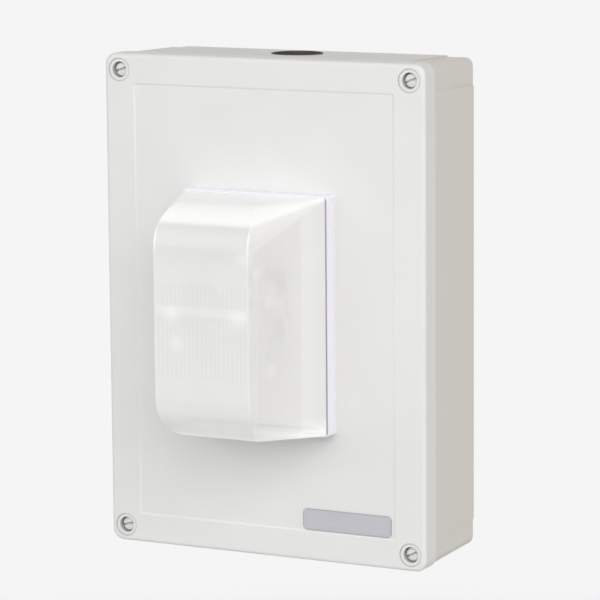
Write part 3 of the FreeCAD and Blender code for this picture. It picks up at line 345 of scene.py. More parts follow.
@dataclass(frozen=True)
class LensPlastic(Finish):
    """Milky lens whose outer skin scatters light and whose inner skin lets it through.

    The lens's own sizes tell its skins, window, hips and ends apart by their place. The hips,
    ends, flanks and the strip between the ribs get a painted glow (emission) that stands in
    for light carried in the milky plastic.
    """

    cover: float = 0.86
    side_cover: float = 0.8
    lining: float = 0.14
    roughness: float = 0.24
    spread: float = 0.03
    index: float = 1.49
    cloud_size: float = 9.0 * MM
    cloud_depth: float = 0.02 * MM
    thin_shade: float = 0.975
    # Painted shade: the front window is drawn darker, more so at its top, and darker still over
    # the ribs.
    window_shade: float = 0.94
    rib_shade: float = 0.986
    upper_shade: float = 0.945
    upper_start: float = 26.0 * MM
    upper_end: float = 44.0 * MM
    soft: float = 2.0 * MM
    window_top: float = 52.0 * MM
    window_bottom: float = -39.5 * MM
    window_edge: float = 1.0 * MM
    window_depth: float = 7.0 * MM
    upper_hip_fall: float = 8.8 * MM
    lower_hip_fall: float = 21.6 * MM
    # Strengths of the painted glow (emission) on each zone, which stands in for light scattered in
    # the plastic.
    top_glow: float = 0.18
    hip_glow: float = 0.05
    flank_glow: float = 0.025
    strip_glow: float = 0.045
    strip_depth: float = 18.0 * MM
    bottom_glow: float = 0.2
    bottom_start: float = 0.8
    gap_glow: float = 0.035
    gleam_glow: float = 0.08
    # Spots of painted glow (emission) that stand for bright parts seen through the wall.
    gleams: tuple[Gleam, ...] = (
        Gleam((-16.7 * MM, -127.0 * MM, 6.6 * MM), 6.6 * MM),
        Gleam((20.6 * MM, -127.0 * MM, 6.6 * MM), 7.2 * MM),
        Gleam((-14.4 * MM, -127.0 * MM, -8.0 * MM), 6.4 * MM),
        Gleam((23.6 * MM, -127.0 * MM, 36.0 * MM), 6.6 * MM),
        Gleam((28.0 * MM, -122.0 * MM, 28.0 * MM), 5.0 * MM),
        Gleam((29.5 * MM, -114.0 * MM, 13.0 * MM), 4.6 * MM),
        Gleam((29.0 * MM, -112.0 * MM, -21.0 * MM), 6.0 * MM),
    )
    foot_level: float = 72.55 * MM
    depth: float = 55.2 * MM
    half_width: float = 40.0 * MM
    half_height: float = 60.0 * MM
    side_lean: float = 13.7 * MM
    top_lean: float = 0.2 * MM
    bottom_lean: float = 3.4 * MM
    foot_corner: float = 1.2 * MM
    crown_corner: float = 18.0 * MM
    top_shoulder: float = 21.5 * MM
    bottom_shoulder: float = 23.5 * MM
    wall: float = 2.4 * MM
    skin_share: float = 0.46
    flute_pitch: float = 2.4 * MM
    flute_width: float = 1.0 * MM
    flute_bands: tuple[tuple[float, float], ...] = (
        (-25.0 * MM, 6.0 * MM),
        (10.6 * MM, 22.0 * MM),
    )

    def _centre_up(self, lean: float, bend: float) -> float:
        """Give how far up or down the centre of a shoulder lies."""
        slope = lean / self.depth
        return self.half_height - (self.depth - bend) * slope - bend * math.sqrt(1 + slope**2)

    def _shoulder(self, graph: Graph, out: Wire, up: Wire, lean: float, bend: float) -> Wire:
        """Give 1 near the outside of one rounded shoulder, and of the front beyond it.

        Args:
            graph: The graph that it is part of.
            out: How far the place lies from the lens's foot.
            up: How far it lies towards the shoulder.
            lean: How far the shoulder's wall leans in over the whole depth.
            bend: The shoulder's radius.

        Returns:
            1 near the outside and 0 deeper in.
        """
        outward = graph.maths("MAXIMUM", out - (self.depth - bend), 0.0)
        upward = graph.maths("MAXIMUM", up - self._centre_up(lean, bend), 0.0)
        return graph.reach(outward, upward) > bend - self.wall / 2

    def _ribs(self, graph: Graph) -> Wire:
        """Mark the ribs that stand on the inside of the front, for their painted shade.

        Args:
            graph: The graph that they are part of.

        Returns:
            1 over each rib and 0 elsewhere.
        """
        from_rib = (graph.axis(0) + self.flute_pitch / 2) % self.flute_pitch - self.flute_pitch / 2
        bands = 0.0
        for low, high in self.flute_bands:
            bands = (graph.axis(2) > low) * (graph.axis(2) < high) + bands
        return (graph.maths("ABSOLUTE", from_rib) < self.flute_width / 2) * bands

    def _gleams(self, graph: Graph) -> Wire:
        """Mark the spots of painted glow that stand for bright parts seen through the wall.

        Args:
            graph: The graph that they are part of.

        Returns:
            1 in the middle of each gleam, fading to 0 at its rim.
        """
        total: Value = 0.0
        for gleam in self.gleams:
            away = graph.node(
                "ShaderNodeVectorMath",
                {"operation": "DISTANCE"},
                {0: graph.place(), 1: Vector(gleam.place)},
                "Value",
            )
            total = graph.ramp(away, gleam.radius, 0.0) + total
        return total

    def _gap(self, graph: Graph, up: Wire) -> Wire:
        """Mark the plain strip between the two bands of ribs, where the tube shows, for a painted
        glow.

        Args:
            graph: The graph that it is part of.
            up: How far up the place lies.

        Returns:
            1 over the strip and 0 elsewhere.
        """
        (_, low), (high, _) = self.flute_bands
        above = graph.ramp(up, low - self.soft / 2, low + self.soft / 2)
        return above * graph.ramp(up, high + self.soft / 2, high - self.soft / 2)

    def fill(self, graph: Graph) -> None:
        """Tell the skins and faces apart, paint shade on the front window and a glow on the rest.

        Args:
            graph: The material's graph.
        """
        side, up = graph.maths("ABSOLUTE", graph.axis(0)), graph.axis(2)
        out = graph.axis(1) * -1.0 - self.foot_level
        share = out * (1 / self.depth)
        bend = self.foot_corner + share * (self.crown_corner - self.foot_corner)
        lean = self.bottom_lean + (up > 0.0) * (self.top_lean - self.bottom_lean)
        across = side - self.half_width + share * self.side_lean + bend
        along = graph.maths("ABSOLUTE", up) - self.half_height + share * lean + bend
        corner = graph.reach(
            graph.maths("MAXIMUM", across, 0.0), graph.maths("MAXIMUM", along, 0.0)
        )
        walls = corner - bend > -self.skin_share * self.wall
        top = self._shoulder(graph, out, up, self.top_lean, self.top_shoulder)
        bottom = self._shoulder(graph, out, up * -1.0, self.bottom_lean, self.bottom_shoulder)
        skin = graph.maths("MAXIMUM", walls, graph.maths("MAXIMUM", top, bottom))

        half_window = self.half_width - self.side_lean - self.window_edge
        front_start = self.depth - self.window_depth
        front = graph.ramp(out, front_start, front_start + self.soft)
        low, high = self.window_bottom, self.window_top
        below_top = graph.ramp(up, high + self.soft, high - self.soft)
        above_bottom = graph.ramp(up, low - self.soft, low + self.soft)
        inside = graph.ramp(side, half_window, half_window - self.window_edge / 2)
        window = front * below_top * above_bottom * inside

        crest = self.half_height
        above_upper_hip = graph.ramp(up + share * self.upper_hip_fall, crest - self.soft, crest)
        above_lower_hip = graph.ramp(up + share * self.lower_hip_fall, crest - self.soft, crest)
        flank = (1.0 - front) * (1.0 - above_lower_hip)
        hip = (1.0 - inside * front) * above_lower_hip * (1.0 - above_upper_hip)
        strip = flank * (out < self.strip_depth)
        # Painted glow (emission): the top, hips, flanks, side strip, bottom, tube strip and spots
        # are drawn brighter.
        glow = (
            above_upper_hip * self.top_glow
            + hip * self.hip_glow
            + flank * self.flank_glow
            + strip * self.strip_glow
            + graph.ramp(up, self.bottom_start * -crest, -crest) * self.bottom_glow
            + window * self._gap(graph, up) * self.gap_glow
            + self._gleams(graph) * self.gleam_glow
        ) * skin

        cloud = graph.noise(self.cloud_size, detail=3.0)
        thin = shaded(self.colour, self.thin_shade)
        # Painted shade of the window, its upper part and its ribs.
        shaded_pane = shaded(self.colour, self.window_shade)
        face = graph.blend(cloud, thin, self.colour)
        upper = graph.ramp(up, self.upper_start, self.upper_end)
        upper_shaded_pane = shaded(shaded_pane, self.upper_shade)
        plain = graph.blend(upper, graph.blend(cloud, shaded_pane, thin), upper_shaded_pane)
        ribbed = graph.blend(self._ribs(graph), plain, shaded(shaded_pane, self.rib_shade))
        cover = self.cover + flank * (self.side_cover - self.cover)
        graph.surface(
            {
                "Base Color": graph.blend(window, face, ribbed),
                "Roughness": self.roughness - self.spread + 2 * self.spread * cloud,
                "IOR": self.index,
                "Alpha": self.lining + skin * (cover - self.lining),
                "Emission Color": graph.blend(glow, NO_LIGHT, WHITE),
                "Emission Strength": 1.0,
                "Normal": graph.bump(cloud, self.cloud_depth),
            }
        )


@dataclass(frozen=True)
class Rubber(Finish):
    """Soft dull rubber or cable jacket with a little dust on it."""

    dust_size: float = 1.2 * MM
    dust_depth: float = 0.02 * MM
    dust_share: float = 1.25
    dust_light: float = 0.01
    roughness: float = 0.62
    dust_roughness: float = 0.2

    def fill(self, graph: Graph) -> None:
        """Dust it.

        Args:
            graph: The material's graph.
        """
        dust = graph.noise(self.dust_size, detail=4.0)
        pale = tuple(level * self.dust_share + self.dust_light for level in self.colour)
        graph.surface(
            {
                "Base Color": graph.blend(dust, self.colour, pale),
                "Roughness": self.roughness + self.dust_roughness * dust,
                "Normal": graph.bump(dust, self.dust_depth),
            }
        )


@dataclass(frozen=True)
class BrushedMetal(Finish):
    """Drawn or plated metal with fine marks and a faint cloud."""

    roughness: float = 0.3
    metallic: float = 1.0
    line: float = 0.25 * MM
    line_share: float = 0.6
    depth: float = 0.003 * MM
    cloud_size: float = 14.0 * MM
    contrast: float = 0.08
    spread: float = 0.04

    def fill(self, graph: Graph) -> None:
        """Mark and cloud it.

        Args:
            graph: The material's graph.
        """
        lines = graph.noise(self.line, detail=3.0)
        marks = self.line_share * lines + (1 - self.line_share) * graph.noise(self.cloud_size)
        dark = shaded(self.colour, 1 - self.contrast)
        light = shaded(self.colour, 1 + self.contrast)
        graph.surface(
            {
                "Base Color": graph.blend(marks, dark, light),
                "Metallic": self.metallic,
                "Roughness": self.roughness - self.spread + 2 * self.spread * lines,
                "Normal": graph.bump(lines, self.depth),
            }
        )


@dataclass(frozen=True)
class CoverPlastic(MouldedPlastic):
    """The cover's moulded plastic, with painted shade in its screw wells and ring grooves."""

    across: float = 81.6 * MM
    up: float = 118.6 * MM
    ring: float = 5.8 * MM
    line: float = 0.42 * MM
    line_core: float = 0.4
    well: float = 4.3 * MM
    well_start: float = 2.0 * MM
    front_level: float = 62.7 * MM
    groove_shade: float = 0.7
    well_shade: float = 0.62

    def paint(self, graph: Graph, face: Wire) -> Wire:
        """Paint shade into the ring grooves and the wells.

        Args:
            graph: The graph that they are part of.
            face: The colour of the plain cover.

        Returns:
            The colour with its painted shade.
        """
        sideways = graph.maths("ABSOLUTE", graph.axis(0)) - self.across
        upwards = graph.maths("ABSOLUTE", graph.axis(2)) - self.up
        reach = graph.reach(sideways, upwards)
        off_line = graph.maths("ABSOLUTE", reach - self.ring)
        line = graph.ramp(off_line, self.line, self.line * self.line_core)
        level = -self.front_level
        well = (reach < self.well) * graph.ramp(graph.axis(1), level, level + self.well_start)
        # Painted shade: the ring grooves and the wells are drawn darker.
        groove_shaded = graph.blend(line, face, shaded(self.colour, self.groove_shade))
        return graph.blend(well, groove_shaded, shaded(self.colour, self.well_shade))


@dataclass(frozen=True)
class PlateFoil(Finish):
    """Satin metal foil brushed lengthways, with a darker edge."""

    node: str = "name_plate"
    edge: float = 0.9 * MM
    edge_core: float = 0.3
    edge_shade: float = 0.86
    line: float = 0.5 * MM
    line_depth: float = 0.003 * MM
    stretch: Triple = (0.02, 1.0, 1.0)
    contrast: float = 0.14
    metallic: float = 0.25
    roughness: float = 0.4
    spread: float = 0.1

    def fill(self, graph: Graph) -> None:
        """Brush it and darken its edge.

        Args:
            graph: The material's graph.
        """
        low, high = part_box(self.node)
        insets = []
        for axis in (0, 2):
            middle = (low[axis] + high[axis]) / 2
            half = (high[axis] - low[axis]) / 2
            insets.append(half - graph.maths("ABSOLUTE", graph.axis(axis) - middle))
        nearest = graph.maths("MINIMUM", *insets)
        inside = graph.ramp(nearest, self.edge * self.edge_core, self.edge)
        lines = graph.noise(self.line, detail=3.0, stretch=self.stretch)
        dark = shaded(self.colour, self.edge_shade)
        brushed = graph.blend(lines, self.colour, shaded(self.colour, 1 + self.contrast))
        graph.surface(
            {
                "Base Color": graph.blend(inside, dark, brushed),
                "Metallic": self.metallic,
                "Roughness": self.roughness + self.spread * lines,
                "Normal": graph.bump(lines, self.line_depth),
            }
        )


@dataclass(frozen=True)
class ClearGlass(Finish):
    """Clear glass with a slight waviness."""

    wave_size: float = 6.0 * MM
    wave_depth: float = 0.01 * MM
    roughness: float = 0.02
    spread: float = 0.03
    index: float = 1.47

    def fill(self, graph: Graph) -> None:
        """Make it clear and wavy.

        Args:
            graph: The material's graph.
        """
        wave = graph.noise(self.wave_size, detail=1.0)
        graph.surface(
            {
                "Base Color": self.colour,
                "Roughness": self.roughness + self.spread * wave,
                "IOR": self.index,
                "Transmission Weight": 1.0,
                "Normal": graph.bump(wave, self.wave_depth),
            }
        )


@dataclass(frozen=True)
class CircuitBoard(Finish):
    """Green solder mask over copper tracks, with tinned pads in a grid."""

    pitch: float = 5.08 * MM
    pad: float = 0.9 * MM
    pad_patch: float = 11.0 * MM
    pad_limit: float = 0.52
    tin: Colour = (0.62, 0.6, 0.56)
    tin_metallic: float = 0.9
    track: float = 3.0 * MM
    track_stretch: Triple = (1.0, 1.0, 0.15)
    track_limit: float = 0.56
    track_light: float = 1.7
    track_depth: float = 0.03 * MM
    roughness: float = 0.38
    pad_polish: float = 0.1

    def fill(self, graph: Graph) -> None:
        """Lay the pads and tracks.

        Args:
            graph: The material's graph.
        """
        across = graph.axis(0) % self.pitch - self.pitch / 2
        up = graph.axis(2) % self.pitch - self.pitch / 2
        chosen = graph.noise(self.pad_patch, detail=0.0) > self.pad_limit
        pads = (self.pad > graph.reach(across, up)) * chosen
        run = graph.noise(self.track, detail=0.0, stretch=self.track_stretch) > self.track_limit
        mask = graph.blend(run, self.colour, shaded(self.colour, self.track_light))
        graph.surface(
            {
                "Base Color": graph.blend(pads, mask, self.tin),
                "Metallic": pads * self.tin_metallic,
                "Roughness": self.roughness - self.pad_polish * pads,
                "Normal": graph.bump(run + pads, self.track_depth),
            }
        )


@dataclass(frozen=True)
class Stripes(Finish):
    """Fine parallel layers along one axis, such as laminations or turns of wire."""

    gap_colour: Colour
    axis: int
    pitch: float
    gap_share: float
    roughness: float = 0.45
    metallic: float = 0.0
    spread: float = 0.1
    wear_size: float = 5.0 * MM
    wear_shade: float = 0.8
    gap_depth: float = 0.08 * MM

    def fill(self, graph: Graph) -> None:
        """Draw the layers and the gaps between them.

        Args:
            graph: The material's graph.
        """
        along = graph.axis(self.axis) % self.pitch
        solid = along > self.pitch * self.gap_share
        wear = graph.noise(self.wear_size, detail=3.0)
        face = graph.blend(wear, shaded(self.colour, self.wear_shade), self.colour)
        graph.surface(
            {
                "Base Color": graph.blend(solid, self.gap_colour, face),
                "Metallic": solid * self.metallic,
                "Roughness": self.roughness + self.spread * wear,
                "Normal": graph.bump(solid, self.gap_depth),
            }
        )


@dataclass(frozen=True)
class PaleFloor(Finish):
    """Pale matt floor near the object that fades into the backdrop further out."""

    near: float
    far: float

    def fill(self, graph: Graph) -> None:
        """Fade it out.

        Args:
            graph: The material's graph.
        """
        distance = graph.node(
            "ShaderNodeVectorMath", {"operation": "LENGTH"}, {0: graph.place()}, "Value"
        )
        fade = graph.ramp(distance, self.near, self.far)
        paint = graph.node("ShaderNodeBsdfDiffuse", {}, {"Color": (*self.colour, 1.0)})
        clear = graph.node("ShaderNodeBsdfTransparent")
        mixed = graph.node("ShaderNodeMixShader", {}, {0: fade, 1: paint, 2: clear})
        graph.node("ShaderNodeOutputMaterial", {}, {"Surface": mixed})


# Finishes of this object

HOUSING = MouldedPlastic("housing_light_grey", linear(221, 217, 211))
COVER = CoverPlastic("cover_light_grey", linear(231, 231, 229))
SCREW = MouldedPlastic("screw_light_grey", linear(232, 231, 227), 0.33, mottle=0.02)
TRAY = MouldedPlastic("tray_white", linear(246, 245, 252), 0.3, grain_depth=0.002 * MM)
GUARD = MouldedPlastic("guard_white", linear(238, 238, 238), 0.4)
# Seal rubber, its grey darkened so that it also stands for the shade in the gap between tray and
# lens.
SEAL = Rubber("seal_with_gap_shade", linear(150, 145, 163))
GASKET = Rubber("gasket_black", linear(38, 38, 40))
JACKET = Rubber("lead_grey", linear(150, 148, 144))
LENS = LensPlastic("lens_milky", linear(252, 252, 251))
FOIL = PlateFoil("plate_satin", linear(186, 186, 192))
LINER = Rubber("liner_brown", linear(64, 59, 56))
SLEEVE = Rubber("lead_sleeve_white", linear(236, 236, 232))
WIRE = BrushedMetal("wire_tinned", linear(205, 200, 190), 0.3, contrast=0.05)
RESISTOR = Stripes(
    "resistor_banded", linear(206, 178, 132), linear(96, 44, 26), 0, 1.5 * MM, 0.3, 0.4
)
STEEL = BrushedMetal("steel_plated", linear(190, 190, 192), 0.28, contrast=0.06)
MIRROR = BrushedMetal("reflector_bright", linear(236, 236, 238), 0.12, contrast=0.02)
GLASS = ClearGlass("tube_clear", (0.96, 0.98, 0.97))
FUSE_GLASS = ClearGlass("fuse_clear", (0.95, 0.95, 0.9))
BOARD = CircuitBoard("board_green", (0.015, 0.12, 0.05))
CAN = MouldedPlastic("can_sleeve_dark", linear(34, 38, 60), 0.28, mottle=0.08)
BLACK = MouldedPlastic("case_black", linear(30, 30, 32), 0.5, mottle=0.1)
TERMINAL = MouldedPlastic("terminal_green", linear(40, 128, 84), 0.4)
RELAY = MouldedPlastic("relay_blue", linear(40, 90, 160), 0.3)
IRON = Stripes(
    "core_laminations", linear(110, 110, 114), linear(40, 38, 38), 1, 0.5 * MM, 0.2,
    metallic=0.8,
)
FERRITE = Rubber("choke_ferrite", linear(70, 70, 74))
WINDING = Stripes(
    "winding_taped", linear(214, 176, 84), linear(150, 110, 50), 1, 6 * MM, 0.04,
)


class FinishShelf:
    """Builds each finish once and gives it to the pieces that share it."""

    def __init__(self) -> None:
        """Start with no material built."""
        self._built: dict[str, bpy.types.Material] = {}

    def get(self, finish: Finish) -> bpy.types.Material:
        """Give the material of a finish.

        Args:
            finish: The finish, whose name is its own.

        Returns:
            The one material that it has.
        """
        if finish.name not in self._built:
            self._built[finish.name] = finish.material()
        return self._built[finish.name]

    def dress(self, piece: bpy.types.Object, finish: Finish) -> None:
        """Put a finish in every slot of a piece.

        Args:
            piece: A CAD node or a new piece.
            finish: What it is dressed in.
        """
        material = self.get(finish)
        if not piece.material_slots:
            piece.data.materials.append(material)
        for held in piece.material_slots:
            held.link = "OBJECT"
            held.material = material


SHELF = FinishShelf()


def new_piece(
    name: str, shape: bmesh.types.BMesh, finish: Finish, smooth_angle: float = 35.0
) -> bpy.types.Object:
    """Make a piece of a finished bmesh.

    Args:
        name: The piece's name.
        shape: The mesh in its final place; it is freed.
        finish: What it is dressed in.
        smooth_angle: Edges sharper than this many degrees stay crisp.

    Returns:
        The piece, which rides on the one body.
    """
    bmesh.ops.recalc_face_normals(shape, faces=shape.faces)
    mesh = bpy.data.meshes.new(name)
    shape.to_mesh(mesh)
    shape.free()
    mesh.shade_smooth()
    mesh.set_sharp_from_angle(angle=math.radians(smooth_angle))
    piece = bpy.data.objects.new(name, mesh)
    bpy.context.scene.collection.objects.link(piece)
    SHELF.dress(piece, finish)
    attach(piece, BODY)
    LOG.info("made %s: %d faces", name, len(mesh.polygons))
    return piece


# Shapes that several pieces share

OUTWARD = Matrix.Rotation(math.pi / 2, 4, "X")


def spun(
    profile: Sequence[tuple[float, float]], closed: bool = False, steps: int = 48
) -> bmesh.types.BMesh:
    """Turn a profile about the Z axis.

    Args:
        profile: Points, each as the distance from the axis and the height.
        closed: Whether the last point joins the first, as round a ring.
        steps: How many facets go round.

    Returns:
        The turned shape.
    """
    shape = bmesh.new()
    points = [shape.verts.new((across, 0.0, up)) for across, up in profile]
    lines = [shape.edges.new(pair) for pair in zip(points, points[1:])]
    if closed:
        lines.append(shape.edges.new((points[-1], points[0])))
    bmesh.ops.spin(
        shape,
        geom=points + lines,
        cent=(0.0, 0.0, 0.0),
        axis=(0.0, 0.0, 1.0),
        angle=math.tau,
        steps=steps,
        use_merge=True,
    )
    bmesh.ops.remove_doubles(shape, verts=shape.verts, dist=JOIN)
    bmesh.ops.recalc_face_normals(shape, faces=shape.faces)
    return shape


def rounded(
    shape: bmesh.types.BMesh, edges: Sequence[bmesh.types.BMEdge], radius: float, steps: int
) -> None:
    """Round some edges of a shape.

    Args:
        shape: The shape, which is changed.
        edges: The edges.
        radius: How far the rounding reaches on each side of an edge.
        steps: How many faces it has across.
    """
    bmesh.ops.bevel(
        shape,
        geom=edges,
        offset=radius,
        segments=steps,
        profile=0.5,
        affect="EDGES",
        material=-1,
    )


def open_edges(shape: bmesh.types.BMesh) -> list[bmesh.types.BMEdge]:
    """List the edges that only one face has."""
    return [edge for edge in shape.edges if edge.is_boundary]


def wire(points: Sequence[Vector], radius: float) -> bmesh.types.BMesh:
    """Make a round wire along a smooth line.

    Args:
        points: Control points of the line.
        radius: Half the wire's thickness.

    Returns:
        The wire, closed at its ends.
    """
    curve = bpy.data.curves.new("wire", "CURVE")
    curve.dimensions = "3D"
    curve.bevel_depth = radius
    curve.bevel_resolution = 2
    curve.resolution_u = 5
    curve.use_fill_caps = True
    spline = curve.splines.new("NURBS")
    spline.points.add(len(points) - 1)
    for held, point in zip(spline.points, points):
        held.co = (*point, 1.0)
    spline.order_u = 3
    spline.use_endpoint_u = True
    carrier = bpy.data.objects.new("wire", curve)
    mesh = bpy.data.meshes.new_from_object(carrier)
    shape = bmesh.new()
    shape.from_mesh(mesh)
    bmesh.ops.remove_doubles(shape, verts=shape.verts, dist=JOIN)
    bpy.data.objects.remove(carrier)
    bpy.data.curves.remove(curve)
    bpy.data.meshes.remove(mesh)
    return shape


def placed(shape: bmesh.types.BMesh, place: Matrix) -> bmesh.types.BMesh:
    """Move a shape to its place and give it back."""
    bmesh.ops.transform(shape, matrix=place, verts=shape.verts)
    return shape


def gathered(shapes: Sequence[bmesh.types.BMesh]) -> bmesh.types.BMesh:
    """Put several shapes into one and free them.

    Args:
        shapes: The shapes, each in its place.

    Returns:
        The one shape.
    """
    whole = bmesh.new()
    for shape in shapes:
        part = bpy.data.meshes.new("part")
        shape.to_mesh(part)
        shape.free()
        whole.from_mesh(part)
        bpy.data.meshes.remove(part)
    return whole


@dataclass
class SlottedScrew:
    """A screw with a domed slotted head.

    Its seat is at the origin and its head points along +Z.
    """

    head_radius: float
    head_depth: float
    shank_radius: float
    length: float
    slot_width: float = 1.25 * MM
    slot_depth: float = 2.0 * MM
    rim: float = 0.8 * MM
    rim_steps: int = 4
    rim_turn: float = 72.0
    rim_share: float = 1.25
    dome_share: float = 0.6
    dome_drop: float = 0.07
    tip: float = 0.8 * MM
    tip_share: float = 0.6
    neck: float = 2.4 * MM
    thread_pitch: float = 1.6 * MM
    thread_depth: float = 0.35 * MM
    thread_crest: float = 0.45
    thread_foot: float = 0.8

    def shape(self, turn: float) -> bmesh.types.BMesh:
        """Build the screw.

        Args:
            turn: Degrees that the slot is turned from level.

        Returns:
            The screw.
        """
        shape = spun(self._profile())
        self._cut_slot(shape)
        return placed(shape, Matrix.Rotation(math.radians(turn), 4, "Z"))

    def _profile(self) -> list[tuple[float, float]]:
        """Draw the screw's outline.

        Returns:
            Points from the tip up to the middle of the head.
        """
        core = self.shank_radius - self.thread_depth
        outline = [(0.0, -self.length), (core * self.tip_share, -self.length)]
        threaded = self.length - 2 * self.tip - self.neck
        for turn in range(int(threaded / self.thread_pitch)):
            low = -self.length + self.tip + turn * self.thread_pitch
            outline.append((core, low))
            outline.append((self.shank_radius, low + self.thread_pitch * self.thread_crest))
            outline.append((core, low + self.thread_pitch * self.thread_foot))
        outline += [(self.shank_radius, -self.neck), (self.shank_radius, 0.0)]
        outline.append((self.head_radius, 0.0))
        for step in range(self.rim_steps + 1):
            angle = math.radians(self.rim_turn) * step / self.rim_steps
            across = self.head_radius - self.rim * (1 - math.cos(angle))
            drop = self.rim * (self.rim_share - math.sin(angle))
            outline.append((across, self.head_depth - drop))
        flat = self.head_radius - self.rim
        outline.append((flat * self.dome_share, self.head_depth - self.dome_drop * self.rim))
        outline.append((0.0, self.head_depth))
        return outline

    def _cut_slot(self, shape: bmesh.types.BMesh) -> None:
        """Sink a straight slot right across the head.

        Args:
            shape: The turned screw, which is changed.
        """
        floor = self.head_depth - self.slot_depth
        half = self.slot_width / 2
        for side, height in ((half, None), (-half, None), (None, floor)):
            head = [face for face in shape.faces if face.calc_center_median().z > 0.0]
            edges = {edge for face in head for edge in face.edges}
            verts = {vert for face in head for vert in face.verts}
            bmesh.ops.bisect_plane(
                shape,
                geom=[*verts, *edges, *head],
                plane_co=(0.0, side or 0.0, height or 0.0),
                plane_no=(0.0, 0.0, 1.0) if side is None else (0.0, 1.0, 0.0),
            )
        strip = [
            face
            for face in shape.faces
            if abs(face.calc_center_median().y) < half and face.calc_center_median().z > floor
        ]
        bmesh.ops.delete(shape, geom=strip, context="FACES")
        for made in bmesh.ops.extrude_edge_only(shape, edges=open_edges(shape))["geom"]:
            if isinstance(made, bmesh.types.BMVert):
                made.co.z = floor
        bmesh.ops.remove_doubles(shape, verts=shape.verts, dist=JOIN)
        bmesh.ops.holes_fill(shape, edges=open_edges(shape), sides=0)
        bmesh.ops.dissolve_degenerate(shape, edges=shape.edges, dist=JOIN)


class SubAssembly(ABC):
    """A group of CAD nodes and new pieces that belong together."""

    nodes: dict[str, Finish] = {}

    def dress(self) -> None:
        """Give each of its CAD nodes its finish."""
        for name, finish in self.nodes.items():
            SHELF.dress(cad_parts[name], finish)
            LOG.info("dressed %s in %s", name, finish.name)

    @abstractmethod
    def build(self) -> None:
        """Make its new pieces."""


@dataclass
class Enclosure(SubAssembly):
    """Base, cover, gasket and bare name plate, with the cover's screws and the hole's liner."""

    screw: SlottedScrew = field(
        default_factory=lambda: SlottedScrew(
            head_radius=3.6 * MM,
            head_depth=4.0 * MM,
            shank_radius=2.0 * MM,
            length=20.0 * MM,
        )
    )
    screw_turns: tuple[float, ...] = (22.0, 18.0, 14.0, 26.0)
    hole_across: float = 2.0 * MM
    hole_level: float = 27.0 * MM
    hole_up: float = 126.46 * MM
    hole_radius: float = 12.75 * MM
    liner_wall: float = 0.5 * MM
    liner_flange: float = 0.45 * MM
    liner_rise: float = 0.42 * MM
    liner_depth: float = 4.6 * MM
    liner_gap: float = 0.05 * MM
    liner_edge: float = 0.15 * MM
    nodes = {
        "enclosure_base": HOUSING,
        "enclosure_cover": COVER,
        "cover_gasket": GASKET,
        "name_plate": FOIL,
    }

    def build(self) -> None:
        """Make the screws and the liner."""
        self.add_screws()
        self.add_liner()

    def add_screws(self) -> None:
        """Set a screw in each well of the cover."""
        low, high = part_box("cover_screws")
        across = high[0] - self.screw.head_radius
        up = high[2] - self.screw.head_radius
        seat = high[1] - self.screw.length
        corners = ((across, up), (-across, up), (-across, -up), (across, -up))
        screws = [
            placed(self.screw.shape(turn), Matrix.Translation((x, seat, z)) @ OUTWARD)
            for (x, z), turn in zip(corners, self.screw_turns)
        ]
        piece = new_piece("cover_screws_slotted", gathered(screws), SCREW)
        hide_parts("cover_screws")

    def add_liner(self) -> None:
        """Line the conduit hole with a thin dark bush whose lip stands just proud."""
        outer = self.hole_radius - self.liner_gap
        inner = outer - self.liner_wall
        lip = self.hole_radius + self.liner_flange
        soft = self.liner_edge
        ring = spun(
            (
                (inner, -self.liner_depth),
                (outer, -self.liner_depth),
                (outer, -soft),
                (lip, -soft),
                (lip, self.liner_rise - soft),
                (lip - soft, self.liner_rise),
                (inner + soft, self.liner_rise),
                (inner, self.liner_rise - soft),
            ),
            closed=True,
            steps=96,
        )
        spot = Matrix.Translation((self.hole_across, -self.hole_level, self.hole_up))
        new_piece("conduit_liner", placed(ring, spot), LINER)


@dataclass
class StrobeHead(SubAssembly):
    """Tray, seal and lens, with the screws and nuts that hold them to the cover."""

    seal_half_width: float = 40.3 * MM
    seal_half_height: float = 59.7 * MM
    seal_corner: float = 1.4 * MM
    seal_corner_steps: int = 5
    seal_width: float = 2.0 * MM
    seal_edge: float = 0.12 * MM
    seal_edge_steps: int = 2
    seal_edge_angle: float = 69.0
    nodes = {
        "strobe_back_plate": TRAY,
        "strobe_lens": LENS,
        "strobe_screws": STEEL,
        "strobe_nuts": STEEL,
    }

    def build(self) -> None:
        """Make the seal with the lip that shows between tray and lens."""
        low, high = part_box("lens_seal")
        shape = bmesh.new()
        bmesh.ops.create_cube(shape, size=1.0)
        size = (2 * self.seal_half_width, high[1] - low[1], 2 * self.seal_half_height)
        bmesh.ops.scale(shape, vec=size, verts=shape.verts)
        corners = [
            edge for edge in shape.edges if abs(edge.verts[0].co.y - edge.verts[1].co.y) > JOIN
        ]
        rounded(shape, corners, self.seal_corner, self.seal_corner_steps)
        shape.normal_update()
        faces = [face for face in shape.faces if abs(face.normal.y) > SQUARE_ON]
        bmesh.ops.inset_individual(shape, faces=faces, thickness=self.seal_width)
        bmesh.ops.delete(shape, geom=faces, context="FACES")
        bmesh.ops.bridge_loops(shape, edges=open_edges(shape))
        shape.normal_update()
        limit = math.radians(self.seal_edge_angle)
        sharp = [edge for edge in shape.edges if edge.calc_face_angle(0.0) > limit]
        rounded(shape, sharp, self.seal_edge, self.seal_edge_steps)
        placed(shape, Matrix.Translation((0.0, (low[1] + high[1]) / 2, 0.0)))
        piece = new_piece("lens_seal_lipped", shape, SEAL)
        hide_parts("lens_seal")


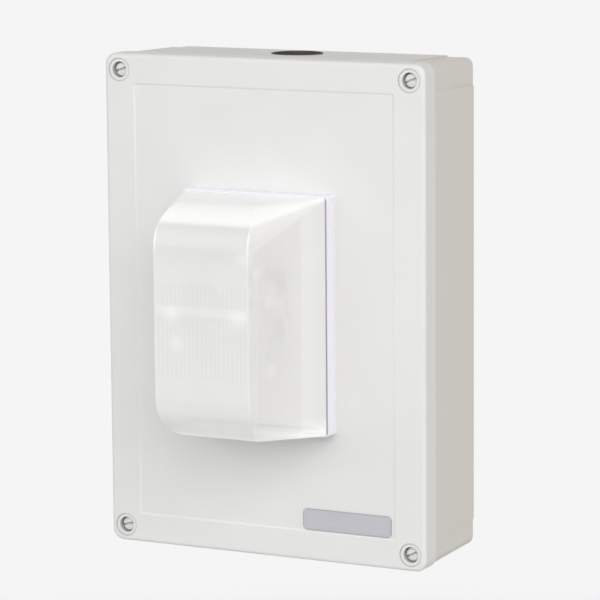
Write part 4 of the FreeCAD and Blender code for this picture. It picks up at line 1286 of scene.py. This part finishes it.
@dataclass
class FlashUnit(SubAssembly):
    """Board behind the lens with its guard, reflector, flash tube and larger parts."""

    tube_level: float = 97.75 * MM
    tube_up: float = 8.0 * MM
    tube_radius: float = 2.4 * MM
    trigger_reach: float = 15.0 * MM
    trigger_turns: int = 9
    trigger_turn_steps: int = 24
    wire_radius: float = 0.18 * MM
    wire_sides: int = 6
    stem_radius: float = 0.4 * MM
    stem_length: float = 3.5 * MM
    electrode_radius: float = 1.1 * MM
    electrode_length: float = 5.0 * MM
    electrode_edge: float = 0.3 * MM
    electrode_inset: float = 1.0 * MM
    lead_radius: float = 0.8 * MM
    lead_route: tuple[Triple, ...] = (
        (23.5 * MM, -97.75 * MM, 8.0 * MM),
        (29.5 * MM, -97.0 * MM, 7.0 * MM),
        (30.2 * MM, -95.5 * MM, -6.0 * MM),
        (29.0 * MM, -94.5 * MM, -20.0 * MM),
        (25.0 * MM, -94.0 * MM, -30.0 * MM),
        (22.0 * MM, -90.6 * MM, -31.0 * MM),
    )
    nodes = {
        "strobe_board": BOARD,
        "strobe_board_screws": STEEL,
        "board_guard": GUARD,
        "reflector": MIRROR,
        "flash_tube": GLASS,
        "tube_caps": STEEL,
        "tube_pins": STEEL,
        "tube_holders": TRAY,
        "flash_capacitor": CAN,
        "trigger_coil": BLACK,
        "converter_choke": FERRITE,
    }

    def build(self) -> None:
        """Make the wires and electrodes of the tube."""
        self.add_trigger_wire()
        self.add_electrodes()
        self.add_leads()

    def add_trigger_wire(self) -> None:
        """Wind the bare trigger wire round the tube."""
        shape = bmesh.new()
        bmesh.ops.create_circle(shape, segments=self.wire_sides, radius=self.wire_radius)
        start = Vector((-self.trigger_reach, 0.0, self.tube_radius + self.wire_radius))
        placed(shape, Matrix.Translation(start) @ OUTWARD)
        steps = self.trigger_turns * self.trigger_turn_steps
        bmesh.ops.spin(
            shape,
            geom=shape.verts[:] + shape.edges[:],
            cent=(0.0, 0.0, 0.0),
            axis=(1.0, 0.0, 0.0),
            dvec=(2 * self.trigger_reach / steps, 0.0, 0.0),
            angle=math.tau * self.trigger_turns,
            steps=steps,
        )
        bmesh.ops.holes_fill(shape, edges=open_edges(shape), sides=0)
        placed(shape, Matrix.Translation((0.0, -self.tube_level, self.tube_up)))
        new_piece("trigger_wire", shape, WIRE)

    def add_electrodes(self) -> None:
        """Put an electrode into each end of the tube."""
        low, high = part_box("flash_tube")
        tip = self.stem_length + self.electrode_length
        outline = (
            (0.0, 0.0),
            (self.stem_radius, 0.0),
            (self.stem_radius, self.stem_length),
            (self.electrode_radius, self.stem_length),
            (self.electrode_radius, tip - self.electrode_edge),
            (self.electrode_radius - self.electrode_edge, tip),
            (0.0, tip),
        )
        electrodes = []
        for end, way in ((low[0], 1), (high[0], -1)):
            turn = Matrix.Rotation(way * math.pi / 2, 4, "Y")
            foot = (end + way * self.electrode_inset, -self.tube_level, self.tube_up)
            electrodes.append(placed(spun(outline, steps=16), Matrix.Translation(foot) @ turn))
        new_piece("tube_electrodes", gathered(electrodes), STEEL)

    def add_leads(self) -> None:
        """Lead a sleeved wire from each end of the tube round to the guard."""
        leads = [
            wire([Vector((side * x, y, z)) for x, y, z in self.lead_route], self.lead_radius)
            for side in (1, -1)
        ]
        new_piece("tube_leads", gathered(leads), SLEEVE)


@dataclass
class ControlUnit(SubAssembly):
    """Board in the base with its transformer, terminals, relay, fuse and small parts."""

    resistor_length: float = 6.4 * MM
    resistor_radius: float = 1.1 * MM
    resistor_waist: float = 0.82
    resistor_beads: tuple[float, float, float] = (0.38, 0.5, 0.8)
    resistor_pitch: float = 5.0 * MM
    resistor_height: float = 2.0 * MM
    resistors: int = 5
    resistors_at: tuple[float, float] = (-8.0 * MM, 2.0 * MM)
    lead_radius: float = 0.3 * MM
    lead_root: float = 0.3 * MM
    lead_reach: float = 1.8 * MM
    chip_legs: int = 5
    leg_pitch: float = 2.54 * MM
    leg_radius: float = 0.2 * MM
    leg_root: float = 0.3 * MM
    leg_knee: float = 0.7 * MM
    leg_foot: float = 0.9 * MM
    leg_toe: float = 1.7 * MM
    nodes = {
        "control_board": BOARD,
        "control_board_screws": STEEL,
        "transformer_core": IRON,
        "transformer_winding": WINDING,
        "terminal_block": TERMINAL,
        "terminal_screws": STEEL,
        "relay": RELAY,
        "fuse": FUSE_GLASS,
        "fuse_clips": STEEL,
        "supply_capacitors": CAN,
        "control_chip": BLACK,
        "lead_socket": TRAY,
        "strobe_lead": JACKET,
    }

    def build(self) -> None:
        """Make the small parts on the board."""
        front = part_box("control_board")[0][1]
        self.add_resistors(front)
        self.add_chip_legs(front)

    def add_resistors(self, front: float) -> None:
        """Stand a row of wired resistors on the board.

        Args:
            front: Where the board's front face lies along Y.
        """
        half = self.resistor_length / 2
        thick = self.resistor_radius
        thin = thick * self.resistor_waist
        waist, bead_start, bead_end = (half * share for share in self.resistor_beads)
        upper = [(thin, waist), (thick, bead_start), (thick, bead_end), (thin, half), (0.0, half)]
        outline = [(across, -along) for across, along in reversed(upper)] + upper
        bodies, leads = [], []
        for number in range(self.resistors):
            up = self.resistors_at[1] - number * self.resistor_pitch
            spot = Vector((self.resistors_at[0], front - self.resistor_height, up))
            turn = Matrix.Rotation(math.pi / 2, 4, "Y")
            bodies.append(placed(spun(outline, steps=20), Matrix.Translation(spot) @ turn))
            for way in (-1, 1):
                inner = spot + Vector((way * (half - self.lead_root), 0.0, 0.0))
                bend = spot + Vector((way * (half + self.lead_reach), 0.0, 0.0))
                foot = Vector((bend.x, front, bend.z))
                leads.append(wire((inner, bend, bend, foot), self.lead_radius))
        new_piece("board_resistors", gathered(bodies), RESISTOR)
        new_piece("resistor_leads", gathered(leads), WIRE)

    def add_chip_legs(self, front: float) -> None:
        """Bend a row of legs down from each side of the chip to the board.

        Args:
            front: Where the board's front face lies along Y.
        """
        low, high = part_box("control_chip")
        middle = (low[2] + high[2]) / 2
        level = (low[1] + front) / 2
        legs = []
        for edge, way in ((low[0], -1), (high[0], 1)):
            for number in range(self.chip_legs):
                up = middle + (number - (self.chip_legs - 1) / 2) * self.leg_pitch
                root = Vector((edge - way * self.leg_root, level, up))
                knee = Vector((edge + way * self.leg_knee, level, up))
                foot = Vector((edge + way * self.leg_foot, front, up))
                toe = Vector((edge + way * self.leg_toe, front - self.leg_radius, up))
                legs.append(wire((root, knee, foot, toe), self.leg_radius))
        new_piece("chip_legs", gathered(legs), WIRE)


@dataclass(frozen=True)
class SoftLamp:
    """A square soft lamp that faces the object."""

    name: str
    spot: Triple
    size: float
    power: float
    colour: Colour

    def hang(self) -> None:
        """Put the lamp in its place."""
        data = bpy.data.lights.new(self.name, "AREA")
        data.shape = "SQUARE"
        data.size = self.size
        data.energy = self.power
        data.color = self.colour
        lamp = bpy.data.objects.new(self.name, data)
        lamp.location = self.spot
        lamp.visible_camera = False
        lamp.rotation_euler = (-Vector(self.spot)).to_track_quat("-Z", "Y").to_euler()
        bpy.context.scene.collection.objects.link(lamp)


@dataclass
class Studio:
    """Camera at the photograph's viewpoint, soft lamps and a pale floor well below."""

    camera_place: Vector = field(default_factory=lambda: Vector((0.78375, -1.5556, 0.27489)))
    yaw: float = math.radians(27.07)
    pitch: float = math.radians(-9.10)
    roll: float = math.radians(-0.465)
    focal_length: float = 203.32
    sensor_width: float = 36.0
    sky_strength: float = 0.3
    floor_level: float = -0.42
    floor_near: float = 0.55
    floor_far: float = 1.1
    floor_sides: int = 64
    lamps: tuple[SoftLamp, ...] = (
        SoftLamp("key", (1.0, -1.5, 0.9), 1.1, 13.0, (1.0, 0.99, 0.975)),
        SoftLamp("front_fill", (0.1, -1.95, 1.05), 1.4, 10.2, (1.0, 1.0, 1.0)),
        SoftLamp("left_fill", (-0.95, -1.8, 0.65), 1.2, 7.4, (0.97, 0.985, 1.0)),
        SoftLamp("side_fill", (1.9, -0.3, 0.3), 1.2, 8.2, (1.0, 0.97, 0.93)),
        SoftLamp("back_fill", (-1.0, 1.8, -0.12), 0.5, 9.0, (1.0, 0.99, 0.98)),
    )

    def build(self) -> None:
        """Set up everything round the object."""
        self.set_view()
        self.add_camera()
        self.add_world()
        self.add_floor()
        for lamp in self.lamps:
            lamp.hang()
        LOG.info("studio ready")

    def set_view(self) -> None:
        """Show colours as they are written."""
        bpy.context.scene.view_settings.view_transform = "Standard"

    def add_camera(self) -> None:
        """Place the camera that the photograph was solved for."""
        data = bpy.data.cameras.new("photo_camera")
        data.lens = self.focal_length
        data.sensor_width = self.sensor_width
        camera = bpy.data.objects.new("photo_camera", data)
        camera.matrix_world = (
            Matrix.Translation(self.camera_place)
            @ Matrix.Rotation(self.yaw, 4, "Z")
            @ Matrix.Rotation(math.pi / 2 + self.pitch, 4, "X")
            @ Matrix.Rotation(self.roll, 4, "Z")
        )
        bpy.context.scene.collection.objects.link(camera)
        bpy.context.scene.camera = camera

    def add_world(self) -> None:
        """Light from all round, and the plain backdrop wherever it is looked at."""
        world = bpy.data.worlds.new("soft_sky")
        graph = Graph(world)
        kinds = ("Is Camera Ray", "Is Glossy Ray", "Is Transmission Ray")
        looks = [graph.node("ShaderNodeLightPath", output=kind) for kind in kinds]
        seen = graph.maths("MAXIMUM", graph.maths("MAXIMUM", looks[0], looks[1]), looks[2])
        sky = graph.node(
            "ShaderNodeBackground", {}, {"Color": (*WHITE, 1.0), "Strength": self.sky_strength}
        )
        backdrop = graph.node("ShaderNodeBackground", {}, {"Color": (*PALE, 1.0)})
        mixed = graph.node("ShaderNodeMixShader", {}, {0: seen, 1: sky, 2: backdrop})
        graph.node("ShaderNodeOutputWorld", {}, {"Surface": mixed})
        bpy.context.scene.world = world

    def add_floor(self) -> None:
        """Lay a round pale floor under the object."""
        shape = bmesh.new()
        bmesh.ops.create_circle(
            shape, cap_ends=True, segments=self.floor_sides, radius=self.floor_far
        )
        mesh = bpy.data.meshes.new("floor")
        shape.to_mesh(mesh)
        shape.free()
        floor = bpy.data.objects.new("floor", mesh)
        floor.location.z = self.floor_level
        bpy.context.scene.collection.objects.link(floor)
        SHELF.dress(floor, PaleFloor("floor_pale", PALE, self.floor_near, self.floor_far))


def main() -> None:
    """Build the looks piece by piece."""
    logging.basicConfig(level=logging.INFO, format="%(name)s: %(message)s")
    Studio().build()
    for part in (Enclosure(), StrobeHead(), FlashUnit(), ControlUnit()):
        part.dress()
        part.build()


if __name__ == "__main__":
    main()
